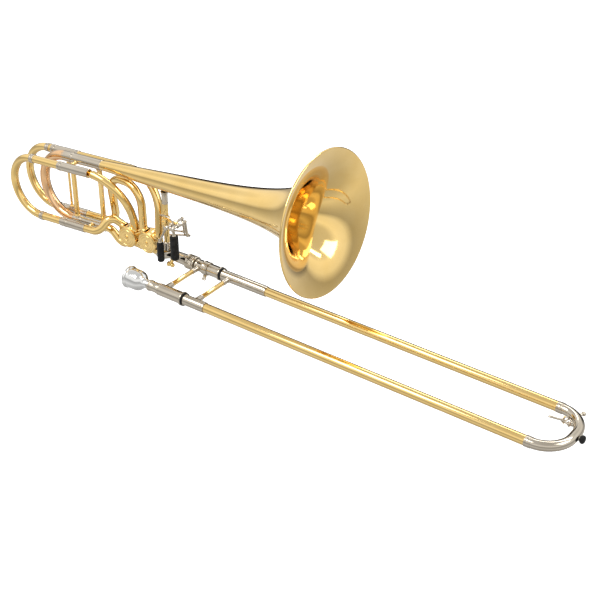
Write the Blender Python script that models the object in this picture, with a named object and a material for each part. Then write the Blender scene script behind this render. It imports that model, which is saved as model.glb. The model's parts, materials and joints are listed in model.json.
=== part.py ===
"""Bass trombone with two inline rotary valves.

Sizes are in millimetres, and mesh_object() turns them into metres.
Frame: the origin is the centre of the inner slide's brace, +X runs forward along the slide to its bow,
+Z up to the bell. The mouthpiece tube is at -Y, the bell side at +Y.
The bell section is pitched nose up, so its tubes are placed with bell_point(u, y, q):
u runs forward along the bell's axis from the rim, y is the world's y, q is the height above that axis.
"""

import math

import bmesh
import bpy
from mathutils import Matrix, Quaternion, Vector

MM = 0.001
GAP = 0.3  # between pieces that touch
SIDES = 10  # sides of a round tube
FINE_SIDES = 20

# Hand slide
TUBE_Y = 49.5  # half the distance between the two slide tubes
INNER_BORE = 6.7
INNER_R = 7.0
STOCKING_R = 7.3
STOCKING_LENGTH = 110.0
OUTER_BORE = 7.6
OUTER_R = 8.1
SLEEVE_R = 9.3
BARREL_START = -7.0
BARREL_END = 48.0
BARREL_R = 10.5
FLANGE_R = 12.2
TENON_START = -38.0
OUTER_FLANGE_R = 11.6
INNER_END = 672.0
OUTER_START = 49.0
OUTER_END = 685.0
OUTER_BRACE_X = 66.0
FERRULE_X = 679.0
SLEEVE_A_END = 92.0
SLEEVE_B_END = 143.0
BOW_X = 686.5  # where the bow starts to bend
BOW_R = 44.0  # of its two quarter circles, which a short straight joins
RECEIVER_START = -29.0
LEADPIPE_LENGTH = 200.0
RIM_X = -77.5
KEY_PIVOT = Vector((701.0, 26.0, 0.0))  # the water key's pin
LOCK_RING = (7.5, 19.5)  # the slide lock's ring, on the bell side's barrel
LUG_X = (54.0, 57.0)  # the outer slide's catch
LUG_ANGLE = math.radians(-108)  # round the tube, from the top towards -Y
LOCK_TURN = math.radians(40)  # from open to locked
NECK_START = -58.0

# Bell section
BELL_RIM = Vector((263.9, TUBE_Y, 169.0))
BELL_PITCH = math.radians(4.9)
BELL_R = 120.65
FLARE_SHIFT = 24.0  # Bessel horn: radius = BELL_R * ((FLARE_SHIFT - u) / FLARE_SHIFT) ** -FLARE_POWER
FLARE_POWER = 0.732
FLARE_END = -300.0
TAIL_END = -483.0
TAIL_R = 8.9
BELL_WALL = 0.5
BEAD_R = 1.9

# Valve section: u of the two rotors, on one line under the bell
ROTOR_Q = -124.0
ROTOR_F_U = -389.0
ROTOR_GB_U = -436.0
CASING_R = 20.0
CASING_Y = (TUBE_Y - 10.0, TUBE_Y + 11.0)
CAP_DEPTH = 3.4
PLUG_R = 16.2
PORT_R = 20.6  # from the rotor's axis to the end of a tube
F_PORT_TURN = -7.0  # degrees by which each rotor's ports are turned from the diagonals
GB_PORT_TURN = 7.0
VALVE_TUBE_R = 7.3
VALVE_BORE = 6.7
VALVE_SLEEVE_R = 8.3
LEG_R = 7.3
TAIL_SLEEVE_R = 9.4
MAIN_LOWER_R = 8.6
ARM_F_Y = 63.5  # plane of the F valve's stop arm and lever arm
ARM_GB_Y = 72.0

# Slides of the valve section: y, q of the upper and lower legs, u where the bow's half circle starts
MAIN_LOOP = (TUBE_Y, 0.0, -124.0, -577.5)
GB_LOOP = (20.0, -5.0, -118.5, -632.0)
F_LOOP = (73.0, -6.0, -124.0, -646.0)
MAIN_SLEEVE_U = (-573.5, TAIL_END - GAP)
MAIN_LOWER_U = (-573.5, -497.0)
GB_UPPER_U = (-562.0, -488.0)
GB_LOWER_U = (-580.0, -519.0)
F_SLEEVE_U = (-632.0, -565.0)
STRUT_X = (-292.5, -226.0)  # the uprights stand square to the hand slide
F_STRUT_X = -330.0

# Levers
BRACE_X = -75.0
PIVOT_F = (-44.0, 66.0)  # x, z of the lever's shaft
PIVOT_GB = (-58.0, 64.0)
LEVER_PIN = Vector((4.0, 0.0, -27.0))  # the linkage pin, from the lever's shaft
LEVER_THROW = math.radians(14.0)
# The two pins of a linkage move alike: a quarter turn of the rotor takes up the lever arm's whole chord,
# and both arms pass through the same lean at mid-throw, one hanging and one standing.
LEAN = math.atan2(LEVER_PIN.x, -LEVER_PIN.z) + LEVER_THROW / 2
QUARTER_TURN = math.radians(90)
ROTOR_ARM = LEVER_PIN.length * math.sin(LEVER_THROW / 2) / math.sin(QUARTER_TURN / 2)
ROTOR_PIN = Matrix.Rotation(-LEAN - QUARTER_TURN / 2, 3, "Y") @ Vector((0, 0, ROTOR_ARM))
SLOT = Matrix.Rotation(-LEAN, 3, "Y") @ Vector((0, 0, 2.0))
GRIP_Y = 30.0
LEVER_ROD_R = 2.0
PIN_R = 1.2
SHAFT_PAST_ARM = 2.3

X_AXIS = Vector((1, 0, 0))
Y_AXIS = Vector((0, 1, 0))
Z_AXIS = Vector((0, 0, 1))
BELL_U = Vector((math.cos(BELL_PITCH), 0, math.sin(BELL_PITCH)))
BELL_Q = Vector((-math.sin(BELL_PITCH), 0, math.cos(BELL_PITCH)))

COLOURS = {  # name: colour, metallic, roughness
    "yellow_brass": ((0.86, 0.66, 0.30), 1.0, 0.18),
    "rose_brass": ((0.85, 0.52, 0.30), 1.0, 0.2),
    "nickel_silver": ((0.72, 0.70, 0.64), 1.0, 0.22),
    "silver_plate": ((0.88, 0.88, 0.86), 1.0, 0.12),
    "black_rubber": ((0.02, 0.02, 0.02), 0.0, 0.6),
    "cork": ((0.55, 0.38, 0.22), 0.0, 0.85),
}


def clear_scene():
    for obj in list(bpy.data.objects):
        bpy.data.objects.remove(obj, do_unlink=True)


def material(name):
    """The named finish, made on its first use."""
    found = bpy.data.materials.get(name)
    if found:
        return found
    colour, metallic, roughness = COLOURS[name]
    made = bpy.data.materials.new(name)
    made.use_nodes = True
    shader = made.node_tree.nodes["Principled BSDF"]
    shader.inputs["Base Color"].default_value = (*colour, 1.0)
    shader.inputs["Metallic"].default_value = metallic
    shader.inputs["Roughness"].default_value = roughness
    return made


def bell_point(u, y, q):
    """World position, in millimetres, of a point given in the bell section's own directions."""
    return BELL_RIM + BELL_U * u + BELL_Q * q + Y_AXIS * (y - TUBE_Y)


# Shapes


def mesh_object(name, rings, finish, looped, origin=None):
    """Skins consecutive rings. A looped set closes on itself, and another gets a cap at each end."""
    origin = origin or Vector((0, 0, 0))
    count = len(rings[0])
    shape = bmesh.new()
    rows = [[shape.verts.new((p - origin) * MM) for p in ring] for ring in rings]
    pairs = list(zip(rows, rows[1:]))
    if looped:
        pairs.append((rows[-1], rows[0]))
    else:
        shape.faces.new(rows[0])
        shape.faces.new(rows[-1])
    for first, second in pairs:
        for i in range(count):
            j = (i + 1) % count
            shape.faces.new((first[i], first[j], second[j], second[i]))
    bmesh.ops.recalc_face_normals(shape, faces=shape.faces)
    mesh = bpy.data.meshes.new(name)
    shape.to_mesh(mesh)
    shape.free()
    mesh.shade_smooth()
    mesh.set_sharp_from_angle(angle=math.radians(35))
    mesh.materials.append(material(finish))
    made = bpy.data.objects.new(name, mesh)
    made.location = origin * MM
    bpy.context.scene.collection.objects.link(made)
    return made


def side_of(axis):
    """A direction square to the axis, the same for every piece on parallel axes, so that facets line up."""
    across = Y_AXIS if abs(axis.dot(Y_AXIS)) < 0.9 else Z_AXIS
    return (across - axis * across.dot(axis)).normalized()


def circle(centre, axis, side, radius, sides, phase=0.0):
    """Points round the centre. A phase of 0.5 turns them by half a side."""
    other = axis.cross(side)
    return [
        centre + (side * math.cos(a) + other * math.sin(a)) * radius
        for a in (2 * math.pi * (i + phase) / sides for i in range(sides))
    ]


def turned(name, start, axis, profile, finish, hollow=False, sides=SIDES, origin=None):
    """A turned piece. The profile lists (distance along the axis from start, radius)."""
    axis = axis.normalized()
    side = side_of(axis)
    rings = [circle(start + axis * along, axis, side, radius, sides) for along, radius in profile]
    return mesh_object(name, rings, finish, hollow, origin)


def pipe(name, start, axis, length, outer, inner, finish, **more):
    """A straight tube."""
    profile = [(0, outer), (length, outer), (length, inner), (0, inner)]
    return turned(name, start, axis, profile, finish, hollow=True, **more)


def rounded_route(corners, radii, step=math.radians(30)):
    """Straight runs between the corners, with an arc of the given radius at each inner one."""
    path = [corners[0]]
    for before, corner, after, radius in zip(corners, corners[1:], corners[2:], radii):
        into = (corner - before).normalized()
        out = (after - corner).normalized()
        turn = into.angle(out)
        reach = radius * math.tan(turn / 2)
        start = corner - into * reach
        inwards = (out - into * out.dot(into)).normalized()
        centre = start + inwards * radius
        axis = into.cross(out).normalized()
        steps = max(2, math.ceil(turn / step))
        for i in range(steps + 1):
            path.append(centre + Quaternion(axis, turn * i / steps) @ (start - centre))
    path.append(corners[-1])
    return path


def rings_along(path, radii, sides=SIDES, phase=0.0):
    """Rings square to the path, carried along it without twist."""
    lines = [(b - a).normalized() for a, b in zip(path, path[1:])]
    ways = [lines[0]] + [(a + b).normalized() for a, b in zip(lines, lines[1:])] + [lines[-1]]
    side = side_of(ways[0])
    rings = []
    for i, (centre, way) in enumerate(zip(path, ways)):
        if i:
            side = ways[i - 1].rotation_difference(way) @ side
            side = (side - way * side.dot(way)).normalized()
        rings.append(circle(centre, way, side, radii[i], sides, phase))
    return rings


def bent_tube(name, path, outer, inner, finish, **more):
    """A hollow tube along the path. The radii are one number, or one for each point."""
    outers = outer if isinstance(outer, list) else [outer] * len(path)
    inners = inner if isinstance(inner, list) else [inner] * len(path)
    rings = rings_along(path, outers) + rings_along(path, inners)[::-1]
    return mesh_object(name, rings, finish, True, **more)


def bent_rod(name, path, radius, finish):
    """A solid rod, turned so that none of its edges meets the edge of a turned piece exactly."""
    return mesh_object(name, rings_along(path, [radius] * len(path), 8, 0.5), finish, False)


def block(name, centre, size, finish, turn=None):
    """A box, turned by the given rotation about its centre."""
    turn = turn or Matrix.Identity(3)
    x, y, z = (0.5 * s for s in size)
    outline = [(-x, -y), (x, -y), (x, y), (-x, y)]
    rings = [[centre + turn @ Vector((a, b, c)) for a, b in outline] for c in (-z, z)]
    return mesh_object(name, rings, finish, False)


def joined(name, pieces, cutters=(), origin=None):
    """One solid from overlapping pieces, less the cutters, with its origin on the joint's axis."""
    keep = pieces[0]
    for operation, others in (("UNION", pieces[1:]), ("DIFFERENCE", cutters)):
        for other in others:
            step = keep.modifiers.new(operation.lower(), "BOOLEAN")
            step.operation = operation
            step.solver = "EXACT"
            step.object = other
    graph = bpy.context.evaluated_depsgraph_get()
    mesh = bpy.data.meshes.new_from_object(keep.evaluated_get(graph))
    mesh.name = name
    for other in (*pieces, *cutters):
        if other is not keep:
            bpy.data.objects.remove(other)
    keep.modifiers.clear()
    keep.data = mesh
    keep.name = name
    if origin:
        mesh.transform(Matrix.Translation(keep.location - origin * MM))
        keep.location = origin * MM
    return keep


# Hand slide


def inner_tubes():
    for side, y in (("a", -TUBE_Y), ("b", TUBE_Y)):
        length = INNER_END - 1
        step = length - STOCKING_LENGTH
        profile = [
            (0, INNER_R),
            (step, INNER_R),
            (step + 2, STOCKING_R),
            (length, STOCKING_R),
            (length, INNER_BORE),
            (0, INNER_BORE),
        ]
        start = Vector((1, y, 0))
        turned("inner_tube_" + side, start, X_AXIS, profile, "nickel_silver", hollow=True)


def cork_barrels():
    """The barrels that the outer slide butts on. B carries the bell joint's tenon."""
    fit = 6.6  # bore that holds the inner tube's jacket
    flange = [(BARREL_END - 5, BARREL_R), (BARREL_END - 4, FLANGE_R), (BARREL_END, FLANGE_R)]
    mouth = [(BARREL_END, OUTER_BORE), (0.5, OUTER_BORE), (0.5, fit)]
    plain = [(BARREL_START, fit), (BARREL_START, BARREL_R)]
    tenon = [(TENON_START, fit), (TENON_START, 7.8), (-8.5, 8.5), (-8.5, BARREL_R)]
    for side, y, rear in (("a", -TUBE_Y, plain), ("b", TUBE_Y, tenon)):
        profile = rear + flange + mouth
        start = Vector((0, y, 0))
        turned("cork_barrel_" + side, start, X_AXIS, profile, "nickel_silver", hollow=True)


def braces_of_slide():
    """The two grips. Each has a thicker socket at both ends."""
    for name, x, reach in (
        ("inner_brace", 0.0, TUBE_Y - BARREL_R - GAP),
        ("outer_brace", OUTER_BRACE_X, TUBE_Y - SLEEVE_R - GAP),
    ):
        profile = [
            (0, 6.4),
            (2, 5.4),
            (14, 5.4),
            (15, 4.4),
            (2 * reach - 15, 4.4),
            (2 * reach - 14, 5.4),
            (2 * reach - 2, 5.4),
            (2 * reach, 6.4),
        ]
        turned(name, Vector((x, -reach, 0)), Y_AXIS, profile, "yellow_brass")


def mouthpiece_receiver():
    """The socket for the mouthpiece's shank, with the leadpipe that runs on inside the inner tube."""
    end = BARREL_START - GAP - RECEIVER_START
    outer, bore, socket = 6.1, 5.6, 6.9
    tip = end + LEADPIPE_LENGTH
    leadpipe = [(end, outer), (tip, outer), (tip, bore), (end - 1, bore), (end - 1, socket), (0, socket)]
    profile = [(0, 9.9), (3, 9.9), (4, 9.3), (end, 9.3)] + leadpipe
    start = Vector((RECEIVER_START, -TUBE_Y, 0))
    turned("mouthpiece_receiver", start, X_AXIS, profile, "nickel_silver", hollow=True)


def mouthpiece():
    """Rim, bowl, throat and shank, bored through."""
    outside = [
        (0, 15.5), (0.6, 18.2), (2.6, 19.5), (5, 19.3), (7, 17.6), (22, 17.2),
        (31, 15.2), (37, 10.4), (41, 7.8), (48.5, 6.5), (68.5, 5.7),
    ]
    inside = [(68.5, 4.6), (44, 3.9), (38, 4.2), (29, 9.0), (16, 12.8), (3, 14.0)]
    start = Vector((RIM_X, -TUBE_Y, 0))
    profile = outside + inside
    turned("mouthpiece", start, X_AXIS, profile, "silver_plate", True, FINE_SIDES, start)


def outer_slide():
    for side, y, sleeve_end in (("a", -TUBE_Y, SLEEVE_A_END), ("b", TUBE_Y, SLEEVE_B_END)):
        start = Vector((OUTER_START, y, 0))
        tube = OUTER_END - OUTER_START
        pipe("outer_tube_" + side, start, X_AXIS, tube, OUTER_R, OUTER_BORE, "yellow_brass")
        length = sleeve_end - OUTER_START
        bore = OUTER_R + GAP
        flange = [(0, bore), (0, OUTER_FLANGE_R), (4, OUTER_FLANGE_R), (5, SLEEVE_R)]
        profile = flange + [(length, SLEEVE_R), (length, bore)]
        sleeve = turned("outer_sleeve_" + side, start, X_AXIS, profile, "nickel_silver", hollow=True)
        if side == "b":
            add_catch(sleeve)


def add_catch(sleeve):
    """The lug that the slide lock hooks behind."""
    turn = Matrix.Rotation(LUG_ANGLE, 3, "X")
    middle = Vector((0.5 * (LUG_X[0] + LUG_X[1]), TUBE_Y, 0)) + turn @ Vector((0, 0, 11.1))
    lug = block("lug", middle, (LUG_X[1] - LUG_X[0], 4.4, 5), "nickel_silver", turn)
    joined("outer_sleeve_b", [sleeve, lug])


def bend_centre():
    """Centre of the bow's bend on the bell side."""
    return Vector((BOW_X, TUBE_Y - BOW_R, 0))


def slide_bow():
    """The nickel bend with its two ferrules, the guard knob and the rubber foot."""
    start = OUTER_END + GAP
    tip_x = BOW_X + BOW_R
    plan = ((start, -TUBE_Y), (tip_x, -TUBE_Y), (tip_x, TUBE_Y), (start, TUBE_Y))
    corners = [Vector((x, y, 0)) for x, y in plan]
    path = rounded_route(corners, [BOW_R, BOW_R], math.radians(15))
    bow = bent_tube("bow", path, OUTER_R, OUTER_BORE - 0.4, "nickel_silver")
    way = Vector((math.cos(math.radians(58)), math.sin(math.radians(58)), 0))
    root = bend_centre() + way * (BOW_R + OUTER_R - 1)
    stem = [(0, 2.0), (5, 2.0), (6.5, 3.6), (9.5, 3.6), (11, 2.0)]
    knob = turned("knob", root, way, stem, "nickel_silver")
    joined("slide_bow", [bow, knob])
    bore = OUTER_R + GAP
    for side, y in (("a", -TUBE_Y), ("b", TUBE_Y)):
        profile = [(0, 8.8), (1, 9.1), (9, 9.1), (10, 8.8), (10, bore), (0, bore)]
        start = Vector((FERRULE_X, y, 0))
        turned("bow_ferrule_" + side, start, X_AXIS, profile, "nickel_silver", hollow=True)
    tip = Vector((tip_x + OUTER_R + GAP, 0, 0))
    foot = [(0, 3.0), (0.8, 3.8), (1.8, 5.4), (4.3, 6.6), (6.8, 5.8), (8.6, 4.0)]
    turned("bow_bumper", tip, X_AXIS, foot, "black_rubber")


def arc_angles(steps):
    return [math.pi * i / steps for i in range(steps + 1)]


def water_key():
    """The spout on the bow's inner side with its saddle posts, and the rocking key with its cork."""
    centre = bend_centre()
    wall = BOW_R * math.cos(math.radians(7.5)) - OUTER_R - GAP
    way, post_way = (Vector((math.cos(a), math.sin(a), 0)) for a in (math.radians(32), math.radians(60)))
    spout = turned("spout", centre + way * wall, -way, [(0, 4.6), (1, 3.4), (4, 3.4)], "nickel_silver")
    root = centre + post_way * wall
    pieces = [spout]
    for z in (-4.0, 4.0):
        post = [root + Z_AXIS * z * 0.6, KEY_PIVOT + Z_AXIS * z]
        pieces.append(bent_rod("post", post, 1.3, "nickel_silver"))
    turn = Matrix.Rotation(math.radians(-30), 3, "Z")
    pieces.append(block("foot", root - post_way, (10, 2, 7), "nickel_silver", turn))
    bridge = [centre + way * (wall - 1.5), root - post_way * 1.2]
    pieces.append(bent_rod("bridge", bridge, 1.2, "nickel_silver"))
    joined("water_key_seat", pieces)
    pad = centre + way * (wall - 4.0 - GAP)
    turned("water_key_cork", pad, -way, [(0, 3.7), (2.2, 3.7)], "cork", origin=KEY_PIVOT)
    back = pad - way * (2.2 + GAP)
    cup = turned("cup", back, -way, [(0, 4.2), (1.4, 4.0)], "nickel_silver")
    hub = KEY_PIVOT + Vector((-0.5, -1.8, 0))
    tip = KEY_PIVOT + Vector((-21, -5, 0))
    arm = bent_rod("arm", [back - way * 0.7, hub - Y_AXIS * 1.4, tip], 1.5, "nickel_silver")
    barrel = turned("barrel", hub - Z_AXIS * 2.4, Z_AXIS, [(0, 2.2), (4.8, 2.2)], "nickel_silver")
    touch = turned("touch", tip - Z_AXIS * 2.2, Z_AXIS, [(0, 2.4), (4.4, 2.4)], "nickel_silver")
    joined("water_key_lever", [arm, cup, barrel, touch], origin=KEY_PIVOT)


def slide_lock():
    """The turning ring with its finger tab and the hook that swings behind the outer slide's lug."""
    start = Vector((LOCK_RING[0], TUBE_Y, 0))
    width = LOCK_RING[1] - LOCK_RING[0]
    ring = pipe("ring", start, X_AXIS, width, FLANGE_R, BARREL_R + 0.6, "nickel_silver", sides=16)
    hook = Matrix.Rotation(LUG_ANGLE - LOCK_TURN, 3, "X")
    tab = Matrix.Rotation(math.radians(150), 3, "X")
    axis = Vector((0, TUBE_Y, 0))
    hook_x = LUG_X[1] + 1.0
    arm_start = LOCK_RING[1] - 6
    pieces = [ring]
    for turn, centre, size in (
        (hook, (0.5 * (arm_start + hook_x + 2), 0, 15.0), (hook_x + 2 - arm_start, 4.4, 2.0)),
        (hook, (arm_start + 3, 0, 13.2), (4, 3.8, 4.0)),
        (hook, (hook_x + 0.9, 0, 13.7), (1.8, 3.8, 3.2)),
        (tab, (LOCK_RING[0] + 6, 0, 16.0), (7, 2.4, 9)),
    ):
        pieces.append(block("arm", axis + turn @ Vector(centre), size, "nickel_silver", turn))
    joined("slide_lock_ring", pieces, origin=start)


# Bell and its joint to the slide


def flare_radius(u):
    """Bessel horn forward of FLARE_END, and a straight cone from there to the tail."""
    if u >= FLARE_END:
        return BELL_R * ((FLARE_SHIFT - u) / FLARE_SHIFT) ** -FLARE_POWER
    start = flare_radius(FLARE_END)
    return start + (TAIL_R - start) * (FLARE_END - u) / (FLARE_END - TAIL_END)


def inner_wall(u):
    """The point of the bore that lies a wall's thickness square to the outside at u."""
    reach = 0.05
    slope = (flare_radius(u + reach) - flare_radius(u - reach)) / (2 * reach)
    across = BELL_WALL / math.hypot(1, slope)
    return u + slope * across, flare_radius(u) - across


def bell():
    """The flare, with a wire rolled into its rim on the outside."""
    stations = [TAIL_END, -400.0, FLARE_END, -220.0, -160.0, -115.0, -80.0]
    stations += [-52.0, -32.0, -18.0, -8.0, -3.0, -1.05]
    outside = [(u, flare_radius(u)) for u in stations]
    bead = [
        (BEAD_R * (math.cos(a) - 1), BELL_R + BEAD_R * (math.sin(a) - 1))
        for a in (math.radians(d) for d in (262, 202, 146, 90, 22))
    ]
    inside = [inner_wall(u) for u in reversed(stations)]
    turned("bell", BELL_RIM, BELL_U, outside + bead + inside, "yellow_brass", hollow=True, sides=24)


def bell_joint():
    """The receiver for the slide's tenon, and the captive nut that pulls them together."""
    start = Vector((NECK_START, TUBE_Y, 0))
    profile = [(0, 8.6), (2, 10.0), (30, 10.4), (47.5, 10.4), (47.5, 8.9), (19, 8.3), (17, 6.7), (0, 6.7)]
    turned("neck_receiver", start, X_AXIS, profile, "nickel_silver", hollow=True)
    nut = [(0, 11.2), (0, 13.2), (2, 13.8), (17, 13.8), (19, 13.0), (19, 11.2)]
    turned(
        "bell_lock_nut", Vector((-28.5, TUBE_Y, 0)), X_AXIS, nut, "nickel_silver",
        hollow=True, sides=16, origin=Vector((-28.5, TUBE_Y, 0)),
    )


def bell_brace():
    """The upright between the bell and the neckpipe: a socket, the brass tube and the upper ferrule."""
    bottom = Vector((BRACE_X, TUBE_Y, 8.3))
    profile = [(0, 7.4), (2, 6.4), (14, 6.2), (15, 5.0), (82, 5.0), (83, 5.6), (110, 5.6), (112.5, 7.0)]
    turned("bell_brace", bottom, Z_AXIS, profile, "yellow_brass")


# Valves


def port_of(u, quarter, turn):
    """Position and outward direction of a port. Quarter 0 is the upper front one, counted over the top."""
    angle = math.radians(45 + 90 * quarter + turn)
    way = BELL_U * math.cos(angle) + BELL_Q * math.sin(angle)
    return bell_point(u, TUBE_Y, ROTOR_Q) + way * PORT_R, way


def pin_at(point):
    """A shouldered pin on the far side of an arm that ends at the point."""
    profile = [(0, 1.9), (3.9, 1.9), (3.9, PIN_R), (7.4, PIN_R)]
    return turned("pin", point - Y_AXIS * 1.7, Y_AXIS, profile, "yellow_brass", sides=8)


def rotor(key, u, arm_y):
    """Casing with a closed back, screwed cap, and the turning plug with its spindle and stop arm."""
    centre = bell_point(u, 0, ROTOR_Q)
    low, high = CASING_Y
    casing = [
        (low, CASING_R), (high - 1.5, CASING_R), (high, CASING_R - 1.5), (high, 3.4),
        (high - 3, 3.4), (high - 3, PLUG_R + GAP), (low, PLUG_R + GAP),
    ]
    turned("rotor_casing_" + key, centre, Y_AXIS, casing, "yellow_brass", hollow=True, sides=FINE_SIDES)
    cap = [(-CAP_DEPTH, 18.6), (-CAP_DEPTH + 1.2, CASING_R), (-GAP, CASING_R)]
    front = centre + Y_AXIS * low
    turned("rotor_cap_" + key, front, Y_AXIS, cap, "yellow_brass", sides=FINE_SIDES)
    plug = [
        (low + GAP, PLUG_R), (high - 3 - GAP, PLUG_R), (high - 3 - GAP, 3.0),
        (arm_y + SHAFT_PAST_ARM, 3.0),
    ]
    body = turned("plug", centre, Y_AXIS, plug, "yellow_brass", sides=FINE_SIDES)
    plane = centre + Y_AXIS * arm_y
    arm = bent_rod("arm", [plane, plane + ROTOR_PIN], 1.5, "yellow_brass")
    joined("rotor_" + key, [body, arm, pin_at(plane + ROTOR_PIN)], origin=centre)


def crook(name, corners, radii, outer=VALVE_TUBE_R, finish="yellow_brass"):
    bent_tube(name, rounded_route(corners, radii), outer, VALVE_BORE, finish)


def valve_tubes():
    """The fixed tubes between the bell joint, the two rotors and the sleeves of the three slides."""
    f_ports = [port_of(ROTOR_F_U, quarter, F_PORT_TURN) for quarter in range(4)]
    gb_ports = [port_of(ROTOR_GB_U, quarter, GB_PORT_TURN) for quarter in range(4)]

    port, way = f_ports[3]
    corners = [Vector((NECK_START - GAP, TUBE_Y, 0)), Vector((-69, TUBE_Y, 0)), port + way * 10, port]
    crook("neckpipe", corners, [20, 12], 8.0, "nickel_silver")

    port, way = f_ports[2]
    into, _ = gb_ports[3]
    half = 0.5 * (port - into).dot(BELL_U)
    crook("rotor_link", [port, port - way * (half / way.dot(BELL_U)), into], [9.5])

    port, way = gb_ports[2]
    y, _, q, _ = MAIN_LOOP
    end = MAIN_LOWER_U[1] + GAP
    leg = [bell_point(-468, y, q - 18), bell_point(-484, y, q), bell_point(end, y, q)]
    crook("main_crook", [port, port + way * 9, *leg], [9, 24, 22])

    y, upper, lower, _ = GB_LOOP
    port, way = gb_ports[0]
    top = [bell_point(-415, y, upper), bell_point(GB_UPPER_U[1] + GAP, y, upper)]
    crook("gb_upper_crook", [port, port + way * 3.2, *top], [8, 70])
    port, way = gb_ports[1]
    leg = [bell_point(GB_LOWER_U[1] + GAP, y, lower), bell_point(-487, y, lower)]
    crook("gb_lower_crook", [*leg, bell_point(-470, 38, -91), port + way * 7, port], [22, 13, 10])

    y, upper, lower, _ = F_LOOP
    port, way = f_ports[0]
    top = [bell_point(-374, y, upper), bell_point(F_SLEEVE_U[1] + GAP, y, upper)]
    crook("f_upper_crook", [port, port + way * 7, *top], [11, 70])
    port, way = f_ports[1]
    arch = [bell_point(-400, 51, -24), bell_point(-482, 60, -24), bell_point(-492, y, lower)]
    leg_end = bell_point(F_SLEEVE_U[1] + GAP, y, lower)
    crook("f_return_crook", [port, port + way * 3.2, *arch, leg_end], [8, 36, 36, 30])


def along_bell(name, u, y, q, outer, inner, finish):
    """A straight tube between the two values of u."""
    return pipe(name, bell_point(u[0], y, q), BELL_U, u[1] - u[0], outer, inner, finish)


def fixed_sleeves():
    y, upper, lower, _ = MAIN_LOOP
    along_bell("main_upper_sleeve", MAIN_SLEEVE_U, y, upper, TAIL_SLEEVE_R, 8.5, "nickel_silver")
    along_bell("main_lower_sleeve", MAIN_LOWER_U, y, lower, MAIN_LOWER_R, LEG_R + GAP, "nickel_silver")
    y, upper, lower, _ = GB_LOOP
    along_bell("gb_upper_sleeve", GB_UPPER_U, y, upper, VALVE_SLEEVE_R, LEG_R + GAP, "nickel_silver")
    along_bell("gb_lower_sleeve", GB_LOWER_U, y, lower, VALVE_SLEEVE_R, LEG_R + GAP, "nickel_silver")
    y, upper, lower, _ = F_LOOP
    along_bell("f_upper_sleeve", F_SLEEVE_U, y, upper, VALVE_SLEEVE_R, LEG_R + GAP, "nickel_silver")
    along_bell("f_lower_sleeve", F_SLEEVE_U, y, lower, VALVE_SLEEVE_R, LEG_R + GAP, "nickel_silver")


def loop_path(loop, upper_end, lower_end):
    """From the upper leg's end round the half circle to the lower leg's end."""
    y, upper, lower, start = loop
    radius = 0.5 * (upper - lower)
    middle = 0.5 * (upper + lower)
    bend = [
        bell_point(start - radius * math.sin(a), y, middle + radius * math.cos(a)) for a in arc_angles(8)
    ]
    return [bell_point(upper_end, y, upper), *bend, bell_point(lower_end, y, lower)]


def tuning_slides():
    """The three slides that pull out to the rear. The main one's legs are pieces of their own."""
    y, upper, lower, start = MAIN_LOOP
    path = loop_path(MAIN_LOOP, start + 3.5, start + 3.5)
    outers = [TAIL_SLEEVE_R + (8.5 - TAIL_SLEEVE_R) * i / (len(path) - 1) for i in range(len(path))]
    bent_tube("main_bow", path, outers, [r - 0.9 for r in outers], "rose_brass", origin=path[0])
    gap_u = start + 3.5 + GAP
    along_bell("main_upper_leg", (gap_u, gap_u + 80), y, upper, 8.2, 7.3, "nickel_silver")
    along_bell("main_lower_leg", (gap_u, gap_u + 70), y, lower, LEG_R, VALVE_BORE, "nickel_silver")
    for name, loop, upper_end, lower_end in (
        ("gb_slide", GB_LOOP, GB_UPPER_U[1] - 12, GB_LOWER_U[1] - 12),
        ("f_slide", F_LOOP, F_SLEEVE_U[1] - 5, F_SLEEVE_U[1] - 5),
    ):
        path = loop_path(loop, upper_end, lower_end)
        bent_tube(name, path, LEG_R, VALVE_BORE, "yellow_brass", origin=path[0])


def height(x, q):
    """World height, at x, of the line that runs at q above the bell's axis."""
    return BELL_RIM.z + (x - BELL_RIM.x) * math.tan(BELL_PITCH) + q / math.cos(BELL_PITCH)


def upright(name, x, y, top, bottom, radius):
    """A strut with flared ends, clear of the slanting tubes above and below it."""
    clearance = GAP + (radius + 1.4) * math.tan(BELL_PITCH)
    foot = height(x, bottom) + clearance
    length = height(x, top) - clearance - foot
    profile = [(0, radius + 1.4), (2, radius), (length - 2, radius), (length, radius + 1.4)]
    turned(name, Vector((x, y, foot)), Z_AXIS, profile, "yellow_brass")


def struts():
    """Uprights between the upper and lower sleeves, and the short stays between neighbouring loops."""
    low = MAIN_LOOP[2] + MAIN_LOWER_R
    upright("rear_strut", STRUT_X[0], TUBE_Y, -TAIL_SLEEVE_R, low, 4.6)
    upright("front_strut", STRUT_X[1], TUBE_Y, -TAIL_SLEEVE_R, low, 4.6)
    upright("f_strut", F_STRUT_X, F_LOOP[0], F_LOOP[1] - VALVE_SLEEVE_R, F_LOOP[2] + VALVE_SLEEVE_R, 2.3)
    for name, u, q, start, end in (
        ("gb_upper_stay", -541, -3.0, GB_LOOP[0] + VALVE_SLEEVE_R, TUBE_Y - TAIL_SLEEVE_R),
        ("gb_lower_stay", -524, -121.0, GB_LOOP[0] + VALVE_SLEEVE_R, TUBE_Y - MAIN_LOWER_R),
    ):
        length = end - start - 2 * GAP
        ends = [(0, 3.6), (2, 2.4), (length - 2, 2.4), (length, 3.6)]
        turned(name, bell_point(u, start + GAP, q), Y_AXIS, ends, "yellow_brass")


# Levers


def at(pivot, y):
    return Vector((pivot[0], y, pivot[1]))


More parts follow.
